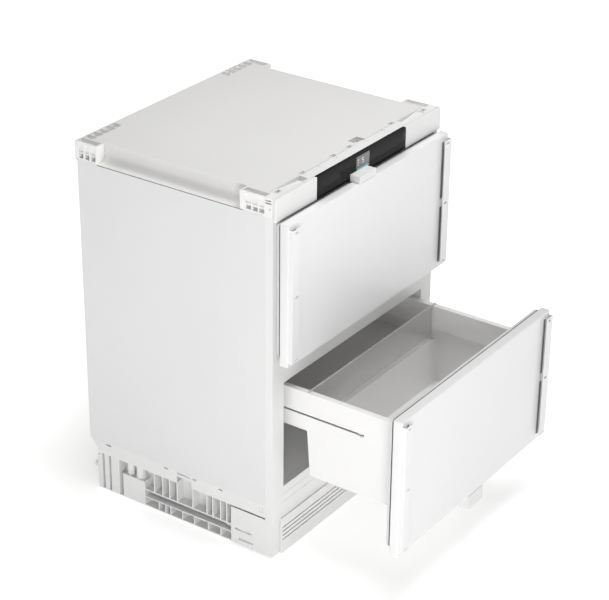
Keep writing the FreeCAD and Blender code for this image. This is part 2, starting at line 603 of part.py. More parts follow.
def slides(word, ledge, shift):
    """Telescopic slides: cabinet member, middle member and drawer member, both sides."""
    cabinet, middle, drawer = [], [], []
    start = "(slotFront + 5)"
    inside = f"({binHalf} - rimWidth)"
    for side, hand in ((-1, "left"), (1, "right")):
        first = f"({binHalf} - 1.5 - slideClearance - slideMetal)"
        low = f"({ledge} + 1)"
        plate = sideBlock(f"{word}_rail_plate_{hand}", side, (first, f"{first} + slideMetal"),
                          (start, f"{start} + slideLength"), (low, f"{ledge} + slideHeight - 12"))
        leg = sideBlock(f"{word}_rail_leg_{hand}", side, (first, openingHalf),
                        (start, f"{start} + slideLength"), (low, f"{low} + 2"))
        flange = sideBlock(f"{word}_rail_flange_{hand}", side, (f"{openingHalf} - 2", openingHalf),
                           (start, f"{start} + slideLength"), (f"{low} - 18", f"{low} + 2"))
        cabinet.append(fused(f"{word}_rail_{hand}", [plate, leg, flange]))
        second = f"({first} - slideClearance - slideMetal)"
        middle.append(sideBlock(f"{word}_middle_{hand}", side, (second, f"{second} + slideMetal"),
                                (f"{start} - {shift} / 2", f"{start} + slideLength - 30 - {shift} / 2"),
                                (f"{low} + 6", f"{ledge} + slideHeight - 16")))
        drawer.append(sideBlock(f"{word}_member_{hand}", side, (inside, f"{second} - slideClearance"),
                                (f"{start} - {shift}", f"{binRear} - 2 - {shift}"),
                                (f"{low} + 2", f"{ledge} + slideHeight - 12")))
    node(group(f"{word}_rail_group", cabinet), f"{word}_slide_cabinet_rails")
    node(group(f"{word}_middle_group", middle), f"{word}_slide_middle_rails")
    node(group(f"{word}_member_group", drawer), f"{word}_slide_drawer_rails")


def divider():
    """Plate that parts the shallow rear of the lower drawer from the deep well."""
    rim = f"({lowerHead} - rimGap)"
    top = f"({rim} + 4)"
    y = "(dividerPlace - lowerPull)"
    inner = f"({binHalf} - rimWidth - plasticWall - 0.6)"
    plate = block("divider_plate", (f"-{inner}", inner), (y, f"{y} + dividerThickness"),
                  (f"{top} - dividerHeight", top))
    ears = []
    for side, hand in ((-1, "left"), (1, "right")):
        ears.append(sideBlock(f"divider_ear_{hand}", side, (f"{inner} - 2", f"{binHalf} - 2"),
                              (y, f"{y} + dividerThickness"), (rim, top)))
    node(fused("divider_all", [plate] + ears), "drawer_divider")


def baseFrames():
    """Ribbed mouldings under the steel sides: skirt, cells, covered rear cell and columns."""
    outer = f"-{half}"
    skirtLow = "(baseHeight - skirtHeight + 2)"
    start = "(footBracketLength + 1)"
    length = f"({baseBack} - {start})"
    web = f"({outer} + 24)"
    low, high = "(rodHeight - 12)", "(rodHeight + 7)"

    def along(share):
        return f"({start} + {length} * {share})"

    parts = [block("skirt", (outer, f"{outer} + plasticWall"), ("frameThickness", back),
                   (skirtLow, "baseHeight")),
             block("skirt_top", (outer, f"{outer} + baseDepth"), ("frameThickness", back),
                   ("baseHeight - sheetThickness - 3", "baseHeight - sheetThickness")),
             block("web", (web, f"{web} + ribThickness"), (start, baseBack), ("frameFoot", "baseHeight - 2")),
             block("floor_rim", (f"{outer} + 1", f"{outer} + baseDepth"), (start, baseBack),
                   ("frameFoot", "frameFoot + ribThickness")),
             block("channel_floor", (f"{outer} + 2", f"{web} + 1"), (start, along(0.64)),
                   (low, f"{low} + ribThickness")),
             block("channel_roof", (f"{outer} + 2", f"{web} + 1"), (start, along(0.64)),
                   (high, f"{high} + ribThickness"))]
    for index, share in enumerate((0.028, 0.072, 0.129, 0.172, 0.275, 0.392, 0.449, 0.500, 0.563)):
        parts.append(block(f"upper_rib_{index}", (f"{outer} + 1.5", f"{web} + 1"),
                           (along(share), f"{along(share)} + ribThickness"), (high, f"{skirtLow} + 1")))
    for index, share in enumerate((0.072, 0.163, 0.267, 0.355, 0.444, 0.482, 0.532)):
        parts.append(block(f"lower_rib_{index}", (f"{outer} + 1.5", f"{web} + 1"),
                           (along(share), f"{along(share)} + ribThickness"), ("frameFoot", f"{low} + 1")))
    parts.append(block("cover", (f"{outer} + 0.6", f"{web} + 1"), (along(0.64), along(0.805)),
                       ("frameFoot", "rodHeight + 27")))
    for index, (share, radius) in enumerate(((0.765, 9), (0.69, 11))):
        parts.append(bar(f"boss_{index}", "z", f"{outer} + 13.5", along(share), "frameFoot", radius,
                         f"{skirtLow} - frameFoot + 1"))
    for index, (first, last) in enumerate(((0.835, 0.898), (0.915, 0.948), (0.965, 1.0))):
        parts.append(block(f"column_{index}", (f"{outer} + 1", f"{web} + 1"), (along(first), along(last)),
                           ("frameFoot", f"{skirtLow} + 1")))
    parts.append(bar("rear_nut", "z", f"-{half} + footInset", f"{back} - rearFootPlace", "52", "13", "14"))
    parts.append(block("rear_nut_arm", (f"{web} + 1", f"-{half} + footInset"),
                       (f"{back} - rearFootPlace - 8", f"{back} - rearFootPlace + 8"), ("52", "60")))
    parts.append(bar("rear_peg", "y", f"{outer} + 7", f"{baseBack} - 1", "rodHeight + 22", "5", "9"))
    parts.append(bar("rear_peg_rim", "y", f"{outer} + 7", f"{baseBack} + 5", "rodHeight + 22", "7", "3"))
    whole = fused("base_left_all", parts)
    tools = [bar("rear_nut_bore", "z", f"-{half} + footInset", f"{back} - rearFootPlace", "40",
                 "spindleRadius + spindleClearance", "40"),
             bar("rear_foot_room", "z", f"-{half} + footInset", f"{back} - rearFootPlace", "0",
                 "footRadius + 2", "14"),
             block("big_cell", (f"{outer} - 1", web), (f"{along(0.275)} + ribThickness", along(0.392)),
                   (f"{high} + ribThickness", "baseHeight - 14")),
             bar("adjuster_hole", "x", f"{outer} - 1", along(0.595), "rodHeight + 12", "4", "30"),
             prism("skirt_corner", "YZ_Plane",
                   ((f"{back} + 1", f"{skirtLow} - 8"), (f"{back} + 1", "baseHeight"),
                                                (f"{back} - 3", "baseHeight"),
                                                (f"{back} - 26", f"{skirtLow} - 1"),
                                                (f"{back} - 26", f"{skirtLow} - 8")), "cabinetWidth + 20")]
    for index, (share, long,
                tall) in enumerate(((0.89, 14, 4), (0.455, 12, 3), (0.293, 34, 4.5), (0.245, 11, 4),
                                                 (0.055, 11, 3))):
        tools.append(block(f"skirt_slot_{index}", (f"{outer} - 1", f"{outer} + 9"),
                           (along(share), f"{along(share)} + {long}"),
                           (f"baseHeight - 3.5 - {tall}", "baseHeight - 3.5")))
    for index in range(2):
        tools.append(block(f"clip_mark_{index}", (f"{outer} - 1", f"{outer} + 1.2"),
                           (f"{back} - 21 + {index} * 9", f"{back} - 17.5 + {index} * 8"),
                           (f"{skirtLow} + 6 + {index} * 10", f"{skirtLow} + 30 - {index} * 2")))
        tools.append(block(f"front_mark_{index}", (f"{outer} - 1", f"{outer} + 1.2"),
                           (f"frameThickness + 4 + {index} * 7", f"frameThickness + 7 + {index} * 7"),
                           (f"{skirtLow} + 10", f"{skirtLow} + 24")))
    left = cut("base_left_cut", whole, tools)
    node(left, "base_frame_left")
    node(mirrored("base_right", left), "base_frame_right")


def footBrackets():
    """Smooth front corner mouldings that hold the front feet."""
    outer = f"-{half}"
    y = ("frameThickness", "footBracketLength")
    plates = [block("bracket_side", (outer, f"{outer} + 3"), ("1", y[1]), ("frameFoot", "frameBottom")),
              block("bracket_rise", (outer, f"{outer} + 3"), y, ("frameFoot", "footBracketTop")),
              block("bracket_front", (outer, f"{outer} + 28"), ("1", "4"), ("frameFoot", "frameBottom")),
              block("bracket_top", (outer, f"{outer} + baseDepth + 20"), y,
                    ("frameBottom - 4", "frameBottom")),
              block("bracket_shelf", (f"{outer} + 1", f"{outer} + baseDepth + 20"), y, ("40", "43")),
              bar("bracket_nut", "z", f"{outer} + footInset", "frontFootPlace", "40", "12", "30")]
    tools = [bar("bracket_bore", "z", f"{outer} + footInset", "frontFootPlace", "10",
                 "spindleRadius + spindleClearance", "90")]
    for index, (low, high) in enumerate((("54", "97"), ("50", "88"))):
        height = f"(38 - {index} * 22)"
        tools.append(block(f"bracket_slot_{index}", (f"{outer} - 1", f"{outer} + 4"), (low, high),
                           (height, f"{height} + 4.5")))
    left = cut("bracket_left_cut", fused("bracket_left_all", plates), tools)
    node(left, "front_foot_bracket_left")
    node(mirrored("bracket_right", left), "front_foot_bracket_right")


def feet():
    """Four screw feet and the two rods that turn the rear ones from the front."""
    pad_ = [("0", "0"), ("footRadius", "0"), ("footRadius", "footHeight - 3"),
            ("footRadius - 4", "footHeight"),
            ("spindleRadius", "footHeight"), ("spindleRadius", "spindleTop"), ("0", "spindleTop")]
    for row, y in (("front", "frontFootPlace"), ("rear", f"{back} - rearFootPlace")):
        for side, hand in ((-1, "left"), (1, "right")):
            x = f"{side} * ({half} - footInset)"
            node(turned(f"foot_{row}_{hand}", pad_, x, y), f"foot_{row}_{hand}")
    rod = bar("rod_left", "y", f"-{half} + rodInset", "footBracketLength + 8", "rodHeight", "rodRadius",
              f"({baseBack} - footBracketLength) * 0.62 - 8")
    socket = bar("rod_socket", "y", f"-{half} + rodInset", "footBracketLength + 4", "rodHeight",
                 "rodRadius + 2", "14")
    hexes = block("rod_drive", (f"-{half} + rodInset - 1.5", f"-{half} + rodInset + 1.5"),
                  ("footBracketLength + 3", "footBracketLength + 10"), ("rodHeight - 1.5", "rodHeight + 1.5"))
    left = cut("rod_left_cut", fused("rod_left_all", [rod, socket]), [hexes])
    node(left, "adjusting_rod_left")
    node(mirrored("rod_right", left), "adjusting_rod_right")


def plinth():
    """Slotted air grille under the front frame."""
    wide = f"({half} - 29)"
    body = doc.addObject("PartDesign::Body", "plinth_body")
    pad(body, "plinth_pad", outline(body, "plinth_outline", "XZ_Plane",
                                    ((f"-{wide}", "0"), (wide, "0"), (wide, "frameBottom"),
                                     (f"-{wide}", "frameBottom")), "plinthLead"), "plinthThickness",
        reverse=True)
    doc.recompute()
    slot = body.newObject("PartDesign::Pocket", "plinth_slot")
    slot.Profile = outline(body, "slot_outline", "XZ_Plane",
                           ((f"-{wide} + 3", "louvreStart"), (f"{wide} - 3", "louvreStart"),
                            (f"{wide} - 3", "louvreStart + louvreSlot"),
                            (f"-{wide} + 3", "louvreStart + louvreSlot")), "plinthLead")
    slot.Type = "ThroughAll"
    slot.Midplane = True
    doc.recompute()
    rows = body.newObject("PartDesign::LinearPattern", "plinth_slots")
    rows.Originals = [slot]
    rows.Direction = (plane(body, "Z_Axis"), [""])
    rows.Occurrences = 4
    rows.setExpression("Length", bound("3 * louvrePitch"))
    body.Tip = rows
    node(body, "air_grille")


def cooling():
    """Compressor on its tray, condenser, drip pan, pipes, control box and inlet."""
    x, y = "-compressorSide", "(stepFront + 28 + compressorRadius + 14)"
    foot = "(trayHeight + mountHeight)"
    wide = f"({half} - baseDepth - 12)"
    low = "(trayHeight - 2)"
    tray = [block("tray_plate", (f"-{wide}", wide), ("stepFront + 30", baseBack), (low, "trayHeight")),
            block("tray_ear", (f"-{half} + 24 + ribThickness", f"{half} - 24 - ribThickness"),
                  ("stepFront + 30", "stepFront + 60"),
                  (low, "trayHeight")),
            block("tray_lip", (f"-{wide}", wide), (f"{baseBack} - 2", baseBack), (low, "trayHeight + 18"))]
    node(fused("tray_all", tray), "compressor_tray")
    shell = turned("compressor_shell", [("0", f"{foot} + 3"), ("compressorRadius - 16", f"{foot} + 3"),
                                        ("compressorRadius", f"{foot} + 28"),
                                        ("compressorRadius", f"{foot} + compressorHeight - 42"),
                                        ("compressorRadius - 22", f"{foot} + compressorHeight"),
                                        ("0", f"{foot} + compressorHeight")], x, y)
    plate = block("compressor_plate", (f"{x} - 88", f"{x} + 88"), (f"{y} - 55", f"{y} + 55"),
                  (foot, f"{foot} + 4"))
    node(fused("compressor_all", [shell, plate]), "compressor")
    mounts = []
    for index, (sx, sy) in enumerate(((-1, -1), (1, -1), (-1, 1), (1, 1))):
        mounts.append(bar(f"mount_{index}", "z", f"{x} + {sx} * 78", f"{y} + {sy} * 44", "trayHeight", "9",
                          "mountHeight"))
    node(group("mount_group", mounts), "compressor_mounts")
    rows = 6
    runs = []
    for index in range(rows):
        yy = f"({index} * coilPitch + 60)"
        runs.append(bar(f"coil_{index}", "x", "-170", yy, "66", "coilRadius", "340"))
        if index < rows - 1:
            side = 1 if index % 2 == 0 else -1
            runs.append(bar(f"coil_link_{index}", "y", f"{side} * 170", yy, "66", "coilRadius", "coilPitch"))
            runs.append(block(f"coil_knee_{index}", (f"{side} * 170 - 2.2", f"{side} * 170 + 2.2"),
                              (f"{yy} - 2.2", f"{yy} + 2.2"), ("63.8", "68.2")))
            runs.append(block(f"coil_heel_{index}", (f"{side} * 170 - 2.2", f"{side} * 170 + 2.2"),
                              (f"{yy} + coilPitch - 2.2", f"{yy} + coilPitch + 2.2"), ("63.8", "68.2")))
    for index in range(13):
        xx = f"({index} * 26 - 156)"
        runs.append(block(f"coil_fin_{index}", (f"{xx} - 0.5", f"{xx} + 0.5"),
                          ("50", f"{rows - 1} * coilPitch + 70"),
                          ("56", "76")))
    for side, hand in ((-1, "left"), (1, "right")):
        runs.append(sideBlock(f"cradle_{hand}", side, ("172", "192"), ("50", "180"),
                              ("baseHeight - 4", "baseHeight - sheetThickness")))
        runs.append(sideBlock(f"cradle_web_{hand}", side, ("171", "174"), ("50", "180"),
                              ("54", "baseHeight - 3")))
    node(fused("condenser_all", runs), "condenser")
    top = f"({foot} + compressorHeight)"
    pan = block("pan_block", (f"{x} - 90", f"{x} + 90"), (f"{y} - 60", f"{y} + 60"), (top, f"{top} + 32"))
    room = block("pan_room", (f"{x} - 88", f"{x} + 88"), (f"{y} - 58", f"{y} + 58"),
                 (f"{top} + 2", f"{top} + 40"))
    node(cut("pan_cut", pan, [room]), "evaporation_pan")
    box = block("control_block", ("60", f"{wide} - 20"), (f"{y} - 30", f"{y} + 50"),
                ("trayHeight", "trayHeight + 90"))
    node(box, "control_box")
    inlet = block("inlet_block", ("90", "130"), (f"{y} + 50", f"{y} + 68"),
                  ("trayHeight + 20", "trayHeight + 50"))
    throat = block("inlet_throat", ("96", "124"), (f"{y} + 56", f"{y} + 70"),
                   ("trayHeight + 25", "trayHeight + 45"))
    node(cut("inlet_cut", inlet, [throat]), "mains_inlet")


def airDuct():
    """Duct cover on the liner's back wall with the circulation fan, evaporator and light."""
    wide = f"({openingHalf} - 40)"
    face = f"({linerBack} - ductDepth)"
    z = (f"{upperSill} + 12", f"{upperHead} - 6")
    cover = block("duct_block", (f"-{wide}", wide), (face, linerBack), z)
    room = block("duct_room", (f"-{wide} + 2", f"{wide} - 2"), (f"{face} + 2", f"{linerBack} + 1"),
                 (f"{z[0]} + 2", f"{z[1]} - 2"))
    middle = f"(({z[0]} + {z[1]}) / 2)"
    tools = [room, bar("duct_mouth", "y", "0", f"{face} - 1", middle, "fanRadius + 2", "5")]
    for index in range(5):
        for side, hand in ((-1, "left"), (1, "right")):
            zz = f"({z[0]} + 26 + {index} * 14)"
            tools.append(sideBlock(f"duct_vent_{hand}_{index}", side, (f"{wide} - 90", f"{wide} - 20"),
                                   (f"{face} - 1", f"{face} + 3"), (zz, f"{zz} + 3.5")))
    node(cut("duct_cut", cover, tools), "air_duct_cover")
    node(block("evaporator_plate", (f"-{wide} + 6", f"{wide} - 6"), (f"{linerBack} - 4", linerBack),
               (f"{z[0]} + 6", f"{z[1]} - 6")), "evaporator")
    motor = bar("fan_motor_can", "y", "0", f"{linerBack} - 12", middle, "16", "8")
    post = bar("fan_motor_post", "y", "0", f"{linerBack} - 20", middle, "2", "9")
    node(fused("fan_motor_all", [motor, post]), "fan_motor")
    hub = bar("fan_hub", "y", "0", f"{face} + 1", middle, "14", "10")
    blades = []
    count = 7
    for index in range(count):
        angle = 360.0 * index / count
        blade = doc.addObject("Part::Box", f"fan_blade_{index}")
        bind(blade, Length="fanRadius - 10", Width="1.6", Height="20")
        pitch = FreeCAD.Rotation(FreeCAD.Vector(1, 0, 0), 20)
        blade.Placement.Rotation = FreeCAD.Rotation(FreeCAD.Vector(0, 1, 0), angle).multiply(pitch)
        corner = blade.Placement.Rotation.multVec(FreeCAD.Vector(10, -0.8, -10))
        place(blade, corner.x, f"{face} + 6 + ({corner.y})", f"{middle} + ({corner.z})")
        blades.append(blade)
    bore = bar("fan_bore", "y", "0", f"{face} + 5", middle, "2.1", "30")
    node(cut("fan_cut", fused("fan_all", [hub] + blades), [bore]), "fan_wheel")
    node(block("led_block", ("-ledLength / 2", "ledLength / 2"), ("60", "74"),
               (f"{upperHead} - 6", upperHead)), "light_bar")


steelCase()
frontFrame()
liners()
lid()
cornerBrackets()
fascia()
drawerFront("upper", upperBottom, upperTop, "0")
drawerFront("lower", "lowerDoorBottom", lowerTop, "lowerPull")
tabs()
drawerBox("upper", f"({upperSill} + upperFloorGap)", f"({upperSill} + upperFloorGap)", upperHead, "0")
drawerBox("lower", f"({lowerSill} + lowerFloorGap)", f"({stepTop} + stepClearance)", lowerHead, "lowerPull")
divider()
baseFrames()
footBrackets()
feet()
plinth()
cooling()
airDuct()

doc.recompute()
faults = [item.Name for item in doc.Objects if {"Invalid", "Error"} & set(item.State)]
for piece in nodes:
    if piece.Shape.isNull() or not piece.Shape.isValid() or not piece.Shape.Solids:
        faults.append(piece.Label)
if faults:
    raise RuntimeError("not built: " + ", ".join(faults))

os.makedirs("parts", exist_ok=True)
for piece in nodes:
    piece.Shape.exportStep("parts/%s.step" % piece.Label)
    print(piece.Label, len(piece.Shape.Solids), round(piece.Shape.Volume / 1000.0, 1), "cm3")
print(len(nodes), "nodes")
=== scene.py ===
import math

import bmesh
import bpy
import numpy as np
from mathutils import Matrix, Vector


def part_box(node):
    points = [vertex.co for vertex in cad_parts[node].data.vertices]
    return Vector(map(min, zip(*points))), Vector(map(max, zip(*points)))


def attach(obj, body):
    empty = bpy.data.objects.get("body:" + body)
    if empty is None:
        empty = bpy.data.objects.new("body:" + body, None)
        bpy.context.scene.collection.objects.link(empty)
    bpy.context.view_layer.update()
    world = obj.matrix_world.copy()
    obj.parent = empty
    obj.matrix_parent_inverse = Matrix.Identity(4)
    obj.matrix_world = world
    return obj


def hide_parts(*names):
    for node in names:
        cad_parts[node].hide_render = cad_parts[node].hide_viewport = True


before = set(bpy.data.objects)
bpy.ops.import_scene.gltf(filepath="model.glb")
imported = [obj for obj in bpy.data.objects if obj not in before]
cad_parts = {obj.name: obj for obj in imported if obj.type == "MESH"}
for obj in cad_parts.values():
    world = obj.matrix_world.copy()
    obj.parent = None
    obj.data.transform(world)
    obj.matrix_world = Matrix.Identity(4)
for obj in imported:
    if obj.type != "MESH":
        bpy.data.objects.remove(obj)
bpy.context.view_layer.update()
print("frame loaded:", len(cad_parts), "nodes")

room = {
    "cameraPlace": (-3.02981, -1.97445, 2.33039),
    "azimuth": -55.238,      # degrees round the object
    "elevation": 27.120,
    "roll": 0.589,
    "lens": 115.28,
    "shift": (-0.0023, 0.0023),
    "floorColour": (0.93, 0.93, 0.925),
    "floorGlow": (0.40, 1.7, 0.42, 0.85),   # near and far distance, glow there
    "floorReach": 9, "floorDrop": 0.0004,
    "worldLight": 0.22,
    "lights": (
        # name, place, aimed at, width, height, watts
        ("keyLight", (-1.95, -1.40, 0.62), (0.0, -0.05, 0.35), 0.9, 0.8, 20.0),
        ("frontLight", (1.8, -3.0, 1.2), (0.0, -0.2, 0.35), 1.6, 1.6, 3.0),
        ("topLight", (0.1, -0.30, 2.7), (0.0, -0.10, 0.5), 1.5, 1.3, 37.0),
        ("backLight", (-0.4, 3.0, 1.8), (0.0, 0.3, 0.5), 1.5, 1.5, 12.0),
    ),
}


def buildRoom(look):
    az, el, roll = (math.radians(look[key]) for key in ("azimuth", "elevation", "roll"))
    ahead = Vector((-math.sin(az) * math.cos(el), math.cos(az) * math.cos(el), -math.sin(el)))
    right = ahead.cross(Vector((0, 0, 1))).normalized()
    up = right.cross(ahead)
    tiltedRight = right * math.cos(roll) + up * math.sin(roll)
    tiltedUp = up * math.cos(roll) - right * math.sin(roll)
    turn = Matrix((tiltedRight, tiltedUp, -ahead)).transposed().to_4x4()
    lens = bpy.data.cameras.new("camera")
    lens.lens, lens.sensor_width = look["lens"], 36.0
    lens.shift_x, lens.shift_y = look["shift"]
    lens.clip_end = 50.0
    camera = bpy.data.objects.new("camera", lens)
    camera.matrix_world = Matrix.Translation(look["cameraPlace"]) @ turn
    bpy.context.scene.collection.objects.link(camera)
    bpy.context.scene.camera = camera
    for name, place, target, width, height, watts in look["lights"]:
        lamp = bpy.data.lights.new(name, "AREA")
        lamp.shape, lamp.size, lamp.size_y, lamp.energy = "RECTANGLE", width, height, watts
        holder = bpy.data.objects.new(name, lamp)
        aim = (Vector(target) - Vector(place)).to_track_quat("-Z", "Y")
        holder.matrix_world = Matrix.Translation(place) @ aim.to_matrix().to_4x4()
        holder.visible_camera = False
        bpy.context.scene.collection.objects.link(holder)
    world = bpy.data.worlds.new("paleRoom")
    bpy.context.scene.world = world
    world.use_nodes = True
    nodes, links = world.node_tree.nodes, world.node_tree.links
    nodes.clear()
    seen, lit, mixed, ray, out = (nodes.new("ShaderNode" + kind) for kind in
                                  ("Background", "Background", "MixShader", "LightPath", "OutputWorld"))
    seen.inputs["Color"].default_value = lit.inputs["Color"].default_value = (1, 1, 1, 1)
    lit.inputs["Strength"].default_value = look["worldLight"]
    links.new(ray.outputs["Is Camera Ray"], mixed.inputs[0])
    links.new(lit.outputs[0], mixed.inputs[1])
    links.new(seen.outputs[0], mixed.inputs[2])
    links.new(mixed.outputs[0], out.inputs[0])
    bpy.context.scene.view_settings.view_transform = "Standard"
    print("camera, lights and world placed")


buildRoom(room)


def newGroup(name, inputs, outputs):
    tree = bpy.data.node_groups.new(name, "ShaderNodeTree")
    for label, kind, value in (("Vector", "Vector", (0, 0, 0)), *inputs):
        tree.interface.new_socket(label, in_out="INPUT", socket_type="NodeSocket" + kind).default_value = value
    for label, kind in outputs:
        tree.interface.new_socket(label, in_out="OUTPUT", socket_type="NodeSocket" + kind)
    return tree, tree.nodes.new("NodeGroupInput"), tree.nodes.new("NodeGroupOutput")


def maths(tree, operation, *values):
    node = tree.nodes.new("ShaderNodeMath")
    node.operation = operation
    for socket, value in zip(node.inputs, values):
        if isinstance(value, (int, float)):
            socket.default_value = value
        else:
            tree.links.new(value, socket)
    return node.outputs[0]


def noiseOf(tree, vector, scale, detail=3.0, kind="ShaderNodeTexNoise"):
    node = tree.nodes.new(kind)
    tree.links.new(vector, node.inputs["Vector"])
    if isinstance(scale, (int, float)):
        node.inputs["Scale"].default_value = scale
    else:
        tree.links.new(scale, node.inputs["Scale"])
    if kind == "ShaderNodeTexNoise":
        node.inputs["Detail"].default_value = detail
        return node.outputs["Fac"]
    return node.outputs["Distance"]


def makePaintSkin():
    # height = fine noise for the orange peel of a sprayed coat + a slow wave of the sheet below it
    tree, given, out = newGroup("paintSkin", (("Peel", "Float", 700.0), ("Wave", "Float", 0.35)),
                                (("Height", "Float"),))
    fine = noiseOf(tree, given.outputs["Vector"], given.outputs["Peel"], 2.0)
    slow = maths(tree, "MULTIPLY", noiseOf(tree, given.outputs["Vector"], 9.0, 1.0), given.outputs["Wave"])
    tree.links.new(maths(tree, "ADD", fine, slow), out.inputs["Height"])
    return tree


def makeMouldGrain():
    # height = cells of an etched mould, broken up by a finer noise
    tree, given, out = newGroup("mouldGrain", (("Cells", "Float", 900.0), ("Break", "Float", 0.5)),
                                (("Height", "Float"),))
    cells = noiseOf(tree, given.outputs["Vector"], given.outputs["Cells"], kind="ShaderNodeTexVoronoi")
    fine = noiseOf(tree, given.outputs["Vector"], maths(tree, "MULTIPLY", given.outputs["Cells"], 2.3), 2.0)
    tree.links.new(maths(tree, "ADD", cells, maths(tree, "MULTIPLY", fine, given.outputs["Break"])),
                   out.inputs["Height"])
    return tree


def makeBrushMarks():
    # height and value = noise drawn out along one axis, as rolled or brushed metal shows
    tree, given, out = newGroup("brushMarks", (("Stretch", "Vector", (4, 900, 900)), ("Scale", "Float", 1.0)),
                                (("Height", "Float"), ("Value", "Float")))
    scaled = tree.nodes.new("ShaderNodeVectorMath")
    scaled.operation = "MULTIPLY"
    tree.links.new(given.outputs["Vector"], scaled.inputs[0])
    tree.links.new(given.outputs["Stretch"], scaled.inputs[1])
    marks = noiseOf(tree, scaled.outputs[0], given.outputs["Scale"], 3.0)
    tree.links.new(marks, out.inputs["Height"])
    tree.links.new(maths(tree, "MULTIPLY_ADD", marks, 0.5, 0.25), out.inputs["Value"])
    return tree


def makeToneDrift():
    # colour = mix of two close tones by a slow noise; value = a smudge pattern for roughness
    tree, given, out = newGroup("toneDrift",
                                (("Tone", "Color", (1, 1, 1, 1)), ("Second Tone", "Color", (1, 1, 1, 1)),
                                              ("Scale", "Float", 5.0), ("Smooth", "Float", 0.3),
                                              ("Dull", "Float", 0.45)),
                                (("Color", "Color"), ("Roughness", "Float")))
    slow = noiseOf(tree, given.outputs["Vector"], given.outputs["Scale"], 4.0)
    mixed = tree.nodes.new("ShaderNodeMix")
    mixed.data_type = "RGBA"
    tree.links.new(slow, mixed.inputs["Factor"])
    tree.links.new(given.outputs["Tone"], mixed.inputs["A"])
    tree.links.new(given.outputs["Second Tone"], mixed.inputs["B"])
    tree.links.new(mixed.outputs["Result"], out.inputs["Color"])
    smudge = noiseOf(tree, given.outputs["Vector"], maths(tree, "MULTIPLY", given.outputs["Scale"], 3.7), 5.0)
    span = maths(tree, "SUBTRACT", given.outputs["Dull"], given.outputs["Smooth"])
    tree.links.new(maths(tree, "MULTIPLY_ADD", smudge, span, given.outputs["Smooth"]), out.inputs["Roughness"])
    return tree


def makeEdgeHighlight():
    # mask = how far the rounded-off normal leaves the face normal, broken by noise: painted highlight, brighter
    # edges as if they caught the light
    tree, given, out = newGroup("edgeHighlight", (("Width", "Float", 0.0012), ("Amount", "Float", 0.5)),
                                (("Mask", "Float"),))
    soft, face, dot = (tree.nodes.new(kind) for kind in ("ShaderNodeBevel", "ShaderNodeNewGeometry",
                                                         "ShaderNodeVectorMath"))
    soft.samples, dot.operation = 3, "DOT_PRODUCT"
    tree.links.new(given.outputs["Width"], soft.inputs["Radius"])
    tree.links.new(soft.outputs["Normal"], dot.inputs[0])
    tree.links.new(face.outputs["Normal"], dot.inputs[1])
    edge = maths(tree, "MULTIPLY", maths(tree, "SUBTRACT", 1.0, dot.outputs["Value"]), 3.5)
    broken = maths(tree, "MULTIPLY", edge, noiseOf(tree, given.outputs["Vector"], 160.0, 3.0))
    result = maths(tree, "MULTIPLY", broken, given.outputs["Amount"])
    tree.nodes[-1].use_clamp = True
    tree.links.new(result, out.inputs["Mask"])
    return tree


def makeSettledDust():
    # mask = faces that look up, times a speckled noise
    tree, given, out = newGroup("settledDust", (("Amount", "Float", 0.2),), (("Mask", "Float"),))
    face, split = tree.nodes.new("ShaderNodeNewGeometry"), tree.nodes.new("ShaderNodeSeparateXYZ")
    tree.links.new(face.outputs["Normal"], split.inputs[0])
    upward = maths(tree, "MAXIMUM", maths(tree, "MULTIPLY_ADD", split.outputs["Z"], 2.0, -1.0), 0.0)
    speckle = noiseOf(tree, given.outputs["Vector"], 60.0, 6.0)
    tree.links.new(maths(tree, "MULTIPLY", maths(tree, "MULTIPLY", upward, speckle), given.outputs["Amount"]),
                   out.inputs["Mask"])
    return tree


groups = {"paint": makePaintSkin(), "grain": makeMouldGrain(), "brush": makeBrushMarks(),
          "tone": makeToneDrift(),
          "edge": makeEdgeHighlight(), "dust": makeSettledDust()}

